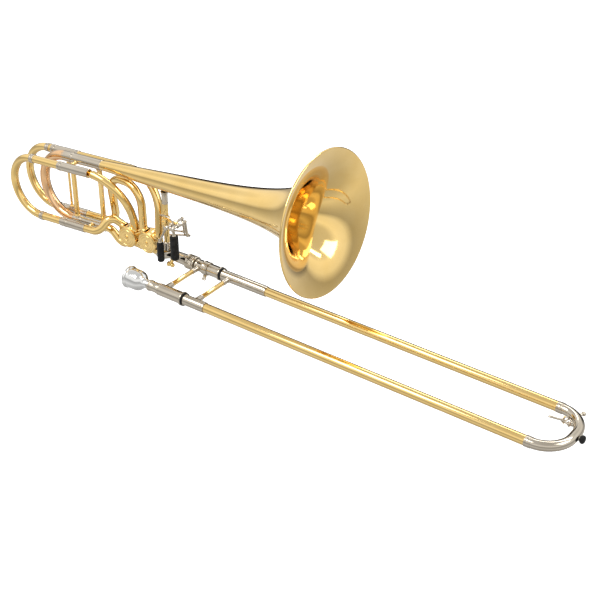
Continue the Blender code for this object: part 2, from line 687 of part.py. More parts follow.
def lever_bracket():
    """Two bearing barrels on a web, clamped to the bell brace."""
    low, high = TUBE_Y - 8, TUBE_Y + 8
    barrels = [
        turned("barrel", at(pivot, low), Y_AXIS, [(0, 4.6), (high - low, 4.6)], "yellow_brass")
        for pivot in (PIVOT_F, PIVOT_GB)
    ]
    foot = Vector((BRACE_X, TUBE_Y, 59))
    collar = turned("collar", foot, Z_AXIS, [(0, 7.6), (12, 7.6)], "yellow_brass")
    web = block("web", Vector((-60, TUBE_Y, 65)), (30, 5, 5), "yellow_brass")
    bore = [(0, LEVER_ROD_R + 0.5), (high - low + 2, LEVER_ROD_R + 0.5)]
    cutters = [
        turned("bore", at(pivot, low - 1), Y_AXIS, bore, "yellow_brass") for pivot in (PIVOT_F, PIVOT_GB)
    ]
    cutters.append(turned("post", foot - Z_AXIS, Z_AXIS, [(0, 5.3), (14, 5.3)], "yellow_brass"))
    joined("lever_bracket", [collar, web, *barrels], cutters)


def lever(key, pivot, arm_y, top, bottom, grip_r):
    """Cross shaft, grip rod in front, linkage arm behind. The rubber grip is a piece of its own."""
    shaft_start = GRIP_Y - 2
    shaft_profile = [(0, LEVER_ROD_R), (arm_y + SHAFT_PAST_ARM - shaft_start, LEVER_ROD_R)]
    shaft = turned("shaft", at(pivot, shaft_start), Y_AXIS, shaft_profile, "nickel_silver")
    hub = turned("hub", at(pivot, GRIP_Y - 3), Y_AXIS, [(0, 3.8), (6, 3.8)], "nickel_silver")
    shoulder = Vector((top[0], GRIP_Y, top[1] + 3))
    route = [at(pivot, GRIP_Y), shoulder, Vector((bottom[0], GRIP_Y, bottom[1] + 1))]
    rod = bent_rod("rod", route, LEVER_ROD_R, "nickel_silver")
    pin = at(pivot, arm_y) + LEVER_PIN
    arm = bent_rod("arm", [at(pivot, arm_y), pin], 1.5, "nickel_silver")
    joined("lever_" + key, [shaft, hub, rod, arm, pin_at(pin)], origin=at(pivot, 0))
    length = top[1] - bottom[1]
    inner = LEVER_ROD_R + GAP
    shell = [(0, grip_r - 1), (1, grip_r), (length - 1, grip_r), (length, grip_r - 1)]
    shell += [(length, inner), (0, inner)]
    start = Vector((bottom[0], GRIP_Y, bottom[1]))
    turned("lever_grip_" + key, start, Z_AXIS, shell, "black_rubber", hollow=True, origin=at(pivot, 0))


def linkage(key, pivot, rotor_u, arm_y):
    """The rod from the lever's pin to the rotor's. Its far eye is slotted, where the loop is opened."""
    plane = Y_AXIS * (SHAFT_PAST_ARM + GAP)
    near = at(pivot, arm_y) + LEVER_PIN + plane
    far = bell_point(rotor_u, arm_y, ROTOR_Q) + ROTOR_PIN + plane
    near_eye = slotted_eye(near, Vector((0, 0, 0)))
    far_eye = slotted_eye(far, SLOT)
    way = (far - near).normalized()
    middle = Y_AXIS * 1.3
    bar = bent_rod("bar", [near + way * 2.6 + middle, far - way * 2.6 + middle], 1.2, "nickel_silver")
    joined("linkage_" + key, [bar, near_eye, far_eye], origin=near)


def slotted_eye(centre, slot):
    """A flat ring round a pin, stretched by the slot. Its origin is where the pin rests."""
    along = slot.normalized() if slot.length else Z_AXIS
    across = Y_AXIS.cross(along)

    def outline(radius, y):
        points = []
        for i in range(12):
            angle = math.radians(30 * i)
            point = centre + Y_AXIS * y + (across * math.cos(angle) + along * math.sin(angle)) * radius
            points.append(point + slot if 0 < i < 6 else point)
        return points

    rings = [outline(3.1, 0), outline(3.1, 2.6), outline(1.7, 2.6), outline(1.7, 0)]
    return mesh_object("eye", rings, "nickel_silver", True)


def levers():
    lever_bracket()
    lever("f", PIVOT_F, ARM_F_Y, (-41, 54), (-41, 8), 7.5)
    lever("gb", PIVOT_GB, ARM_GB_Y, (-74, 31), (-74, -7), 6.2)
    linkage("f", PIVOT_F, ROTOR_F_U, ARM_F_Y)
    linkage("gb", PIVOT_GB, ROTOR_GB_U, ARM_GB_Y)


def main():
    clear_scene()
    inner_tubes()
    cork_barrels()
    braces_of_slide()
    mouthpiece_receiver()
    mouthpiece()
    outer_slide()
    slide_bow()
    water_key()
    slide_lock()
    bell()
    bell_joint()
    bell_brace()
    rotor("f", ROTOR_F_U, ARM_F_Y)
    rotor("gb", ROTOR_GB_U, ARM_GB_Y)
    valve_tubes()
    fixed_sleeves()
    tuning_slides()
    struts()
    levers()


main()
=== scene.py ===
"""The bass trombone as it looks: a fine piece for every CAD node, and small fittings that the CAD leaves out.

Sizes are in millimetres and Shape turns them into metres. The origin is the centre of the inner slide's
brace, +X runs forward along the slide, +Z up. Points of the bell section are given as (u, y, q): u forward
along the bell's axis from its rim, y the world's y, q the height above that axis.
"""

import json
import math

import bmesh
import bpy
from mathutils import Matrix, Quaternion, Vector

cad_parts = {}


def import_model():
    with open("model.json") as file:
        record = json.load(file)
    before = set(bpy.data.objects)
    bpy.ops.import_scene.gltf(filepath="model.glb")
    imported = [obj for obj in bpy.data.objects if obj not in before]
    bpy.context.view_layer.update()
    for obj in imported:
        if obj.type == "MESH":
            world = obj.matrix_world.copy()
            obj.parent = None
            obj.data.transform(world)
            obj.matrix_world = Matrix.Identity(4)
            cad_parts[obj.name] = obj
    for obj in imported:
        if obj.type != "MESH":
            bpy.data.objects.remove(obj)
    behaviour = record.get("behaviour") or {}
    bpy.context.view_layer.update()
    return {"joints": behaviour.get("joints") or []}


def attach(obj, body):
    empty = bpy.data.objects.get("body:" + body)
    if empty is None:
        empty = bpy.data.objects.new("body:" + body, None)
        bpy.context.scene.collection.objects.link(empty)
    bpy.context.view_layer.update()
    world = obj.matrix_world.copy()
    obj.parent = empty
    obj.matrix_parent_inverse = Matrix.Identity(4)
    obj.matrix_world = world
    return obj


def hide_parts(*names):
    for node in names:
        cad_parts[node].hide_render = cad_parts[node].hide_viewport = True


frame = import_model()

MM = 0.001
SIDES = 40
X = Vector((1, 0, 0))
Y = Vector((0, 1, 0))
Z = Vector((0, 0, 1))

BRASS = "lacquered_brass"
ROSE = "rose_brass"
NICKEL = "nickel_silver"
SILVER = "silver_plate"
RUBBER = "black_rubber"
CORK = "cork"

# Hand slide
TUBE_Y = 49.5
INNER_BORE = 6.7
INNER_R = 7.0
STOCKING_R = 7.3
OUTER_BORE = 7.6
OUTER_R = 8.1
SLEEVE_R = 9.3
BARREL_START = -7.0
BARREL_END = 48.0
BARREL_R = 10.5
INNER_END = 672.0
OUTER_START = 49.0
OUTER_END = 685.0
FERRULE_X = 679.0
SLEEVE_ENDS = {"a": 92.0, "b": 143.0}
BOW_X = 686.5
BOW_R = 44.0
RECEIVER_START = -29.0
RIM_X = -77.5
KEY_PIVOT = Vector((701.0, 26.0, 0.0))
LOCK_RING = (7.5, 19.5)
LUG_X = (54.0, 57.0)
LUG_ANGLE = math.radians(-108)
LOCK_TURN = math.radians(40)

# Bell section
BELL_R = 120.65
BELL_WALL = 0.5
FLARE_REACH = 24.0
FLARE_POWER = 0.732
TAIL_END = -483.0
TAIL_R = 8.9
FLARE_END = -300.0
BEAD_R = 1.9
ROTOR_Q = -124.0
ROTOR_U = {"f": -389.0, "gb": -436.0}
PORT_TURN = {"f": -7.0, "gb": 7.0}
ARM_Y = {"f": 63.5, "gb": 72.0}
CASING_R = 20.0
CASING_Y = (39.5, 60.5)
PLUG_R = 16.2
PORT_R = 20.6
VALVE_TUBE_R = 7.3
VALVE_BORE = 6.7
VALVE_SLEEVE_R = 8.3
VALVE_SLEEVE_BORE = 7.6
FERRULE_BORE = 7.35
TAIL_SLEEVE_R = 9.4
MAIN_LOWER_R = 8.6
MAIN_LOOP = (TUBE_Y, 0.0, -124.0, -577.5)
GB_LOOP = (20.0, -5.0, -118.5, -632.0)
F_LOOP = (73.0, -6.0, -124.0, -646.0)
BRACE_X = -75.0
GRIP_Y = 30.0
LEVER_PIN = Vector((4.0, 0.0, -27.0))
LEVER_THROW = math.radians(14.0)
PAST_ARM = 2.3
GAP = 0.3
TUBES = {"a": -TUBE_Y, "b": TUBE_Y}

# Studio, in metres and degrees
FLOOR_Z = -0.42
CAMERA_AT = (1.30699, -1.44224, 1.17734)
CAMERA_AZIMUTH = 36.307
CAMERA_ELEVATION = 32.248
CAMERA_LENS = 80.32


def joint(name):
    return next(j for j in frame["joints"] if j["name"] == name)


def joint_point(name):
    """Where the joint's axis passes, in millimetres."""
    return Vector(joint(name)["pos_m"]) / MM


BELL_U = -Vector(joint("main_slide_pull")["axis"]).normalized()
BELL_Q = BELL_U.cross(Y)
RIM = Vector((263.9, TUBE_Y, 169.0))


def bell_point(u, y, q):
    return RIM + BELL_U * u + BELL_Q * q + Y * (y - TUBE_Y)


def bell_way(angle):
    """The direction at that angle above the bell's axis."""
    return BELL_U * math.cos(angle) + BELL_Q * math.sin(angle)


# Shapes


def side_of(axis):
    across = Y if abs(axis.dot(Y)) < 0.9 else Z
    return (across - axis * across.dot(axis)).normalized()


def circle(centre, axis, side, radius, sides):
    other = axis.cross(side)
    turns = (2 * math.pi * i / sides for i in range(sides))
    return [centre + (side * math.cos(a) + other * math.sin(a)) * radius for a in turns]


def soften(profile, reach, closed):
    """The profile with a small round on each corner."""
    made = []
    count = len(profile)
    for i, corner in enumerate(profile):
        if not closed and i in (0, count - 1):
            made.append(corner)
            continue
        before, after = profile[i - 1], profile[(i + 1) % count]
        a, b = math.dist(before, corner), math.dist(corner, after)
        into = Vector((corner[0] - before[0], corner[1] - before[1]))
        out = Vector((after[0] - corner[0], after[1] - corner[1]))
        if min(a, b) < 1e-6 or into.angle(out) < math.radians(12):
            made.append(corner)
            continue
        cut = min(reach, 0.35 * a, 0.35 * b)
        first = Vector(corner) - into * (cut / a)
        last = Vector(corner) + out * (cut / b)
        middle = first * 0.25 + Vector(corner) * 0.5 + last * 0.25
        made += [tuple(first), tuple(middle), tuple(last)]
    return made


def spline(points, steps=6):
    """A smooth curve through the points, which may be 2-D pairs or Vectors."""
    points = [Vector(p) for p in points]
    made = []
    for i in range(len(points) - 1):
        b, c = points[i], points[i + 1]
        a = points[i - 1] if i else b * 2 - c
        d = points[i + 2] if i + 2 < len(points) else c * 2 - b
        for k in range(steps):
            t = k / steps
            made.append(
                0.5 * (b * 2 + (c - a) * t + (a * 2 - b * 5 + c * 4 - d) * t**2 + (b * 3 - a - c * 3 + d) * t**3)
            )
    return [*made, points[-1]]


def route(corners, radii, step=math.radians(7.5)):
    """Straight runs between the corners, with an arc of the given radius at each inner one."""
    path = [corners[0]]
    for before, corner, after, radius in zip(corners, corners[1:], corners[2:], radii):
        into = (corner - before).normalized()
        out = (after - corner).normalized()
        turn = into.angle(out)
        start = corner - into * (radius * math.tan(turn / 2))
        centre = start + (out - into * out.dot(into)).normalized() * radius
        axis = into.cross(out).normalized()
        steps = max(3, math.ceil(turn / step))
        for i in range(steps + 1):
            path.append(centre + Quaternion(axis, turn * i / steps) @ (start - centre))
    return [*path, corners[-1]]


class Shape:
    """One visible piece. Its methods add geometry in millimetres, and done() makes the object."""

    def __init__(self):
        self.mesh = bmesh.new()

    def skin(self, rings, closed=False):
        rows = [[self.mesh.verts.new(p * MM) for p in ring] for ring in rings]
        pairs = list(zip(rows, rows[1:]))
        faces = []
        if closed:
            pairs.append((rows[-1], rows[0]))
        else:
            faces = [self.mesh.faces.new(rows[0]), self.mesh.faces.new(rows[-1])]
        count = len(rows[0])
        for first, second in pairs:
            for i in range(count):
                j = (i + 1) % count
                faces.append(self.mesh.faces.new((first[i], first[j], second[j], second[i])))
        bmesh.ops.recalc_face_normals(self.mesh, faces=faces)
        return self

    def lathe(self, start, axis, profile, closed=False, sides=SIDES, soft=0.3):
        """Turned about the axis. The profile lists (distance from start, radius)."""
        axis = axis.normalized()
        side = side_of(axis)
        if not closed:
            (x0, r0), (x1, r1) = profile[0], profile[-1]
            profile = [(x0, r0 * 0.6), *profile, (x1, r1 * 0.6)]
        profile = soften(profile, soft, closed)
        return self.skin([circle(start + axis * x, axis, side, r, sides) for x, r in profile], closed)

    def pipe(self, start, axis, length, outer, inner, **more):
        profile = [(0, outer), (length, outer), (length, inner), (0, inner)]
        return self.lathe(start, axis, profile, closed=True, **more)

    def along(self, path, outer, inner=None, sides=SIDES):
        """A rod, or with an inner radius a tube, along the path. Radii are numbers or one for each point."""
        outers = outer if isinstance(outer, list) else [outer] * len(path)
        rings = carried(path, outers, sides)
        if inner is None:
            return self.skin(rings)
        inners = inner if isinstance(inner, list) else [inner] * len(path)
        return self.skin(rings + carried(path, inners, sides)[::-1], True)

    def rod(self, path, radius, sides=16):
        """A rod with rounded ends."""
        path = [Vector(p) for p in path]
        first = (path[1] - path[0]).normalized()
        last = (path[-1] - path[-2]).normalized()
        ends = [(1.0, 0.25), (0.7, 0.72), (0.3, 0.95)]
        points = [path[0] - first * radius * 0.5 * a for a, _ in ends]
        radii = [radius * r for _, r in ends] + [radius] * len(path)
        points += path + [path[-1] + last * radius * 0.5 * a for a, _ in reversed(ends)]
        radii += [radius * r for _, r in reversed(ends)]
        return self.along(points, radii, sides=sides)

    def ball(self, centre, radius, axis=Z, sides=24):
        arc = [math.pi * (i + 0.35) / 11.7 for i in range(12)]
        profile = [(-radius * math.cos(a), radius * math.sin(a)) for a in arc]
        side = side_of(axis)
        return self.skin([circle(centre + axis * x, axis, side, r, sides) for x, r in profile])

    def block(self, centre, size, turn=None, soft=0.35):
        """A box with softened edges, turned about its centre."""
        turn = turn or Matrix.Identity(3)
        hx, hy, hz = (0.5 * s for s in size)
        cut = min(soft, 0.3 * min(size))
        levels = [(-hz, cut), (-hz + cut, 0), (hz - cut, 0), (hz, cut)]
        rings = []
        for z, inset in levels:
            x, y = hx - inset, hy - inset
            c = cut * 0.6
            outline = [
                (
                    -x + c, -y,
                ), (x - c, -y), (x, -y + c), (x, y - c), (x - c, y), (-x + c, y), (-x, y - c), (-x, -y + c),
            ]
            rings.append([centre + turn @ Vector((a, b, z)) for a, b in outline])
        return self.skin(rings)

    def saddle(self, centre, axis, up, tube_r, length, width, thick=0.7):
        """An oval foot wrapped on a tube: centre on the tube's axis, up towards the foot's middle."""
        axis = axis.normalized()
        up = (up - axis * up.dot(axis)).normalized()
        rings = []
        for height, scale in ((0.02, 1.0), (thick * 0.6, 1.0), (thick, 0.86), (thick, 0.4)):
            ring = []
            for i in range(32):
                a = 2 * math.pi * i / 32
                along = 0.5 * length * math.cos(a) * scale
                turn = 0.5 * width * math.sin(a) * scale / tube_r
                ring.append(centre + axis * along + Quaternion(axis, turn) @ up * (tube_r + height))
            rings.append(ring)
        return self.skin(rings)

    def screw(self, centre, axis, radius, height=1.0, turn=0.4):
        """A slotted cheese head."""
        axis = axis.normalized()
        side = Quaternion(axis, turn) @ side_of(axis)
        other = axis.cross(side)
        self.lathe(centre, axis, [(-0.3, radius), (height * 0.55, radius)], sides=24, soft=0.1)
        for sign in (-1, 1):
            rings = []
            for z, scale in ((height * 0.5, 1.0), (height * 0.85, 1.0), (height, 0.85)):
                ring = []
                for i in range(13):
                    a = math.radians(12 + 156 * i / 12)
                    across = side * math.cos(a) * scale + other * math.sin(a) * scale * sign
                    ring.append(centre + axis * z + across * radius)
                rings.append(ring)
            self.skin(rings)
        return self

    def coil(self, centre, axis, radius, length, turns, wire):
        """A helical spring along the axis from the centre."""
        axis = axis.normalized()
        side = side_of(axis)
        other = axis.cross(side)
        count = turns * 16
        path = []
        for i in range(count + 1):
            a = 2 * math.pi * i / 16
            path.append(centre + axis * (length * i / count) + (side * math.cos(a) + other * math.sin(a)) * radius)
        return self.along(path, wire, sides=8)

    def done(self, name, slot, body, *nodes):
        mesh = bpy.data.meshes.new(name)
        self.mesh.to_mesh(mesh)
        self.mesh.free()
        mesh.shade_smooth()
        mesh.set_sharp_from_angle(angle=math.radians(38))
        made = bpy.data.objects.new(name, mesh)
        bpy.context.scene.collection.objects.link(made)
        mesh.materials.append(FINISHES[slot])
        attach(made, body)
        if nodes:
            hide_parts(*nodes)
        return made


def carried(path, radii, sides):
    """Rings square to the path, carried along it without twist."""
    lines = [(b - a).normalized() for a, b in zip(path, path[1:])]
    ways = [lines[0]] + [(a + b).normalized() for a, b in zip(lines, lines[1:])] + [lines[-1]]
    side = side_of(ways[0])
    rings = []
    for i, (centre, way) in enumerate(zip(path, ways)):
        if i:
            side = ways[i - 1].rotation_difference(way) @ side
            side = (side - way * side.dot(way)).normalized()
        rings.append(circle(centre, way, side, radii[i], sides))
    return rings


# Finishes


class Nodes:
    """Builds the node tree of a material or a world."""

    def __init__(self, owner):
        owner.use_nodes = True
        self.owner = owner
        self.tree = owner.node_tree
        self.shader = self.tree.nodes.get("Principled BSDF")
        self.coords = self.add("ShaderNodeTexCoord").outputs

    def add(self, kind, **settings):
        node = self.tree.nodes.new(kind)
        for key, value in settings.items():
            setattr(node, key, value)
        return node

    def link(self, source, target):
        self.tree.links.new(source, target)

    def noise(self, scale, detail=4.0, stretch=(1, 1, 1), roughness=0.5):
        mapping = self.add("ShaderNodeMapping")
        mapping.inputs["Scale"].default_value = stretch
        self.link(self.coords["Object"], mapping.inputs["Vector"])
        node = self.add("ShaderNodeTexNoise")
        node.inputs["Scale"].default_value = scale
        node.inputs["Detail"].default_value = detail
        node.inputs["Roughness"].default_value = roughness
        self.link(mapping.outputs["Vector"], node.inputs["Vector"])
        return node.outputs["Fac"]

    def ramp(self, source, stops):
        node = self.add("ShaderNodeValToRGB")
        ramp = node.color_ramp
        while len(ramp.elements) < len(stops):
            ramp.elements.new(0.5)
        for element, (place, value) in zip(ramp.elements, stops):
            element.position = place
            element.color = (value, value, value, 1) if isinstance(value, float) else (*value, 1)
        self.link(source, node.inputs["Fac"])
        return node.outputs["Color"]

    def mix(self, factor, a, b):
        """Between two colours, each a tuple or a socket."""
        node = self.add("ShaderNodeMix", data_type="RGBA")
        if isinstance(factor, float):
            node.inputs["Factor"].default_value = factor
        else:
            self.link(factor, node.inputs["Factor"])
        for socket, value in ((node.inputs[6], a), (node.inputs[7], b)):
            if isinstance(value, tuple):
                socket.default_value = (*value, 1)
            else:
                self.link(value, socket)
        return node.outputs[2]

    def math(self, kind, *values):
        node = self.add("ShaderNodeMath", operation=kind)
        for socket, value in zip(node.inputs, values):
            if isinstance(value, float):
                socket.default_value = value
            else:
                self.link(value, socket)
        return node.outputs[0]

    def bump(self, *layers):
        """Layers of (height socket, strength, depth in metres), one over the other."""
        last = None
        for height, strength, depth in layers:
            node = self.add("ShaderNodeBump")
            node.inputs["Strength"].default_value = strength
            node.inputs["Distance"].default_value = depth
            self.link(height, node.inputs["Height"])
            if last:
                self.link(last, node.inputs["Normal"])
            last = node.outputs["Normal"]
        self.link(last, self.shader.inputs["Normal"])


def metal(name, colour, deep, tarnish, roughness, coat, streak=(30, 700, 700)):
    """Polished metal: cloudy colour, tarnish specks, hairline polishing streaks and a faint orange peel."""
    nodes = Nodes(bpy.data.materials.new(name))
    shader = nodes.shader
    shader.inputs["Metallic"].default_value = 1.0
    shader.inputs["Coat Weight"].default_value = coat
    shader.inputs["Coat Roughness"].default_value = 0.06
    clouds = nodes.ramp(nodes.noise(26.0, 5.0), [(0.35, 0.0), (0.7, 1.0)])
    base = nodes.mix(clouds, colour, deep)
    specks = nodes.ramp(nodes.noise(420.0, 3.0, roughness=0.7), [(0.66, 0.0), (0.74, 0.55)])
    worn = nodes.mix(specks, base, tarnish)
    nodes.link(worn, shader.inputs["Base Color"])
    hairs = nodes.noise(1.0, 3.0, streak, 0.65)
    smudges = nodes.ramp(
        nodes.noise(55.0, 6.0, roughness=0.6), [(0.4, roughness * 0.75), (0.75, roughness * 1.7)],
    )
    hairs_low = nodes.ramp(hairs, [(0.35, 0.0), (0.8, roughness * 0.6)])
    nodes.link(nodes.math("ADD", smudges, hairs_low), shader.inputs["Roughness"])
    peel = nodes.noise(160.0, 2.0)
    nodes.bump((hairs, 0.025, 0.0001), (peel, 0.02, 0.0005))
    return nodes.owner


def rubber():
    nodes = Nodes(bpy.data.materials.new(RUBBER))
    shader = nodes.shader
    grain = nodes.noise(1500.0, 4.0)
    wear = nodes.ramp(
        nodes.noise(120.0, 5.0, roughness=0.65),
        [(0.45, (0.005, 0.005, 0.005)), (0.8, (0.022, 0.021, 0.020))],
    )
    nodes.link(wear, shader.inputs["Base Color"])
    shader.inputs["Specular IOR Level"].default_value = 0.22
    nodes.link(nodes.ramp(grain, [(0.3, 0.42), (0.7, 0.62)]), shader.inputs["Roughness"])
    nodes.bump((grain, 0.35, 0.0002))
    return nodes.owner


def cork():
    nodes = Nodes(bpy.data.materials.new(CORK))
    shader = nodes.shader
    grain = nodes.noise(900.0, 6.0, roughness=0.7)
    nodes.link(
        nodes.ramp(
            grain, [(0.35, (0.16, 0.08, 0.035)), (0.5, (0.45, 0.27, 0.13)), (0.75, (0.60, 0.41, 0.22))],
        ),
        shader.inputs["Base Color"],
    )
    nodes.link(nodes.ramp(grain, [(0.3, 0.95), (0.7, 0.7)]), shader.inputs["Roughness"])
    nodes.bump((grain, 0.7, 0.0006))
    return nodes.owner


FINISHES = {
    BRASS: metal(BRASS, (0.87, 0.62, 0.245), (0.83, 0.57, 0.20), (0.52, 0.31, 0.10), 0.07, 0.35),
    ROSE: metal(ROSE, (0.86, 0.55, 0.30), (0.80, 0.48, 0.23), (0.45, 0.24, 0.11), 0.09, 0.35),
    NICKEL: metal(NICKEL, (0.57, 0.51, 0.42), (0.49, 0.43, 0.34), (0.28, 0.23, 0.17), 0.08, 0.0),
    SILVER: metal(SILVER, (0.80, 0.80, 0.78), (0.72, 0.71, 0.68), (0.42, 0.40, 0.35), 0.07, 0.0),
    RUBBER: rubber(),
    CORK: cork(),
}


# Hand slide


def slide_tubes():
    length = INNER_END - 1
    step = length - 110
    for side, y in TUBES.items():
        start = Vector((1, y, 0))
        profile = [(0, INNER_R), (step, INNER_R), (step + 2, STOCKING_R), (length, STOCKING_R)]
        profile += [(length, INNER_BORE), (0, INNER_BORE)]
        inner = Shape().lathe(start, X, profile, closed=True)
        inner.done("stockinged_inner_tube_" + side, NICKEL, "frame", "inner_tube_" + side)
        start = Vector((OUTER_START, y, 0))
        outer = Shape().pipe(start, X, OUTER_END - OUTER_START, OUTER_R, OUTER_BORE)
        outer.done("drawn_outer_tube_" + side, BRASS, "outer_slide", "outer_tube_" + side)
        end = SLEEVE_ENDS[side] - OUTER_START
        bore = OUTER_R + 0.05
        sleeve = [(0, bore), (0, 9.6), (0.4, 10.0), (2.4, 10.0), (3.0, 9.5), (5, SLEEVE_R)]
        sleeve += [
            (end - 6, SLEEVE_R), (end - 5.4, 9.0), (end - 4.6, 9.0), (end - 4, SLEEVE_R), (end, 8.9),
            (end, bore),
        ]
        fitting = Shape().lathe(start, X, sleeve, closed=True, soft=0.25)
        if side == "b":
            turn = Matrix.Rotation(LUG_ANGLE, 3, "X")
            middle = Vector((0.5 * sum(LUG_X), TUBE_Y, 0)) + turn @ Vector((0, 0, 11.1))
            fitting.block(middle, (LUG_X[1] - LUG_X[0], 4.4, 5), turn)
        fitting.done("slide_handle_sleeve_" + side, NICKEL, "outer_slide", "outer_sleeve_" + side)


def cork_barrels():
    mouth = [(BARREL_END, OUTER_BORE + 0.4), (BARREL_END - 1.5, OUTER_BORE), (0.5, OUTER_BORE), (0.5, 6.6)]
    flange = [(42.4, BARREL_R), (43, 12.2), (45.4, 12.2), (45.9, 10.6), (BARREL_END, 10.6)]
    rear = [
        (BARREL_START + 0.8, BARREL_R), (-4.6, BARREL_R), (-4.2, 10.0), (-3.4, 10.0), (-3, BARREL_R),
    ]
    body = [(BARREL_START, 6.6), (BARREL_START, BARREL_R - 0.8)] + rear
    Shape().lathe(Vector((0, -TUBE_Y, 0)), X, body + flange + mouth, closed=True).done(
        "turned_barrel_a", NICKEL, "frame", "cork_barrel_a"
    )
    tenon = [(-38, 6.6), (-38, 7.8), (-8.5, 8.5), (-8.5, BARREL_R)]
    Shape().lathe(Vector((0, TUBE_Y, 0)), X, tenon + rear[1:] + flange + mouth, closed=True).done(
        "turned_barrel_b", NICKEL, "frame", "cork_barrel_b"
    )
    for side, y in TUBES.items():
        # A black ring round each barrel's mouth, in the black rubber finish: painted shade standing for the dark
        # gap between barrel and outer slide.
        ring = Shape().pipe(Vector((45.8, y, 0)), X, 3.1, 11.5, 10.62, soft=0.3)
        ring.done("barrel_mouth_shade_ring_" + side, RUBBER, "frame")


def slide_braces():
    for name, node, x, reach, body in (
        ("inner_grip_bar", "inner_brace", 0.0, TUBE_Y - BARREL_R + 0.15, "frame"),
        ("outer_grip_bar", "outer_brace", 66.0, TUBE_Y - SLEEVE_R + 0.15, "outer_slide"),
    ):
        bar = Shape().lathe(Vector((x, -reach + 13, 0)), Y, [(0, 4.2), (2 * reach - 26, 4.2)])
        bar.done(name, BRASS, body, node)
        cups = Shape()
        cup = [
            (0, 5.8), (0.9, 5.6), (1.7, 4.95), (11, 4.9), (11.3, 4.6), (11.9, 4.6), (12.2, 4.9), (13.4, 4.8),
            (13.8, 4.4), (13.8, 3.6), (0, 3.6),
        ]
        for way in (-1, 1):
            cups.lathe(Vector((x, way * reach, 0)), Y * -way, cup, closed=True)
        cups.done(name + "_sockets", NICKEL, body)


def mouthpiece_and_receiver():
    end = BARREL_START - 0.1 - RECEIVER_START
    tube = [(end, 6.1), (end + 200, 6.1), (end + 200, 5.6), (end - 1, 5.6), (end - 1, 6.9), (0, 6.9)]
    collar = [(0, 9.3), (0.6, 9.9), (2.6, 9.9), (3.4, 9.0), (4.2, 9.0), (4.8, 9.5), (5.6, 9.5), (6.2, 8.9)]
    collar += [(end - 5, 8.9), (end - 4.4, 9.4), (end - 2.4, 9.4), (end - 1.8, 9.0), (end, 9.0)]
    Shape().lathe(Vector((RECEIVER_START, -TUBE_Y, 0)), X, collar + tube, closed=True).done(
        "mouthpiece_socket", NICKEL, "frame", "mouthpiece_receiver"
    )
    rim = [
        (0.9, 14.6), (0.2, 15.4), (0.0, 16.4), (0.3, 17.6), (1.2, 18.8), (2.8, 19.5), (4.8, 19.4),
        (6.2, 18.4),
    ]
    bowl = [
        (7.0, 16.9), (8.2, 16.8), (9.0, 17.7), (17, 17.8), (25, 17.4), (29.5, 16.2), (33.5, 13.4),
        (36.5, 10.2), (38.6, 8.7),
    ]
    stem = [(41, 7.9), (43, 7.5), (43.5, 8.1), (45.4, 8.1), (45.9, 7.1), (50, 6.5), (60, 6.1), (68.5, 5.7)]
    inside = [
        (68.5, 4.6), (56, 4.2), (44, 3.9), (38, 3.9), (34, 5.0), (30, 7.2), (25, 9.9), (19, 11.9), (12, 13.2),
        (4, 13.9),
    ]
    profile = [tuple(p) for p in spline(rim + bowl, 3)] + stem + [tuple(p) for p in spline(inside, 3)]
    Shape().lathe(Vector((RIM_X, -TUBE_Y, 0)), X, profile, closed=True, sides=64, soft=0.15).done(
        "turned_mouthpiece", SILVER, "mouthpiece", "mouthpiece"
    )


def slide_bow():
    start = OUTER_END + 0.1
    tip_x = BOW_X + BOW_R
    corners = [
        Vector((x, y, 0)) for x, y in ((start, -TUBE_Y), (tip_x, -TUBE_Y), (tip_x, TUBE_Y), (start, TUBE_Y))
    ]
    path = route(corners, [BOW_R, BOW_R], math.radians(4))
    Shape().along(path, OUTER_R, OUTER_BORE - 0.4).done("bow_bend", NICKEL, "outer_slide", "slide_bow")
    centre = Vector((BOW_X, TUBE_Y - BOW_R, 0))
    way = Vector((math.cos(math.radians(58)), math.sin(math.radians(58)), 0))
    root = centre + way * (BOW_R + OUTER_R - 0.6)
    stem = [(0, 3.4), (0.8, 2.4), (2, 1.9), (5.0, 1.9)]
    top = [tuple(p) for p in spline(
        [(5.0, 2.0), (5.8, 3.1), (7.4, 3.7), (9.2, 3.3), (10.4, 2.0), (10.9, 0.6)], 4,
    )]
    Shape().lathe(root, way, stem + top, soft=0.2).done("bow_knob", NICKEL, "outer_slide")
    for side, y in TUBES.items():
        profile = [(0, 8.4), (0.4, 8.75)]
        for x in (1.6, 3.0, 7.0, 8.4):
            profile += [(x - 0.45, 8.75), (x - 0.25, 8.5), (x + 0.25, 8.5), (x + 0.45, 8.75)]
        profile += [(9.7, 8.75), (10, 8.4), (10, OUTER_R + 0.05), (0, OUTER_R + 0.05)]
        Shape().lathe(Vector((FERRULE_X, y, 0)), X, profile, closed=True, soft=0.15).done(
            "engraved_ferrule_" + side, NICKEL, "outer_slide", "bow_ferrule_" + side
        )
    tip = Vector((tip_x + OUTER_R + GAP, 0, 0))
    outline = [(-0.2, 3.3), (0.8, 4.0), (1.8, 5.6), (4.3, 6.6), (6.6, 5.9), (8.0, 4.2), (8.5, 1.8)]
    ball = [tuple(p) for p in spline(outline, 4)]
    Shape().lathe(tip, X, ball, soft=0.1).done("bumper_ball", RUBBER, "outer_slide", "bow_bumper")
    Shape().lathe(
        tip - X * 1.0, X, [(0, 4.6), (0.6, 3.6), (1.2, 3.4)], soft=0.1,
    ).done("bumper_cup", NICKEL, "outer_slide")


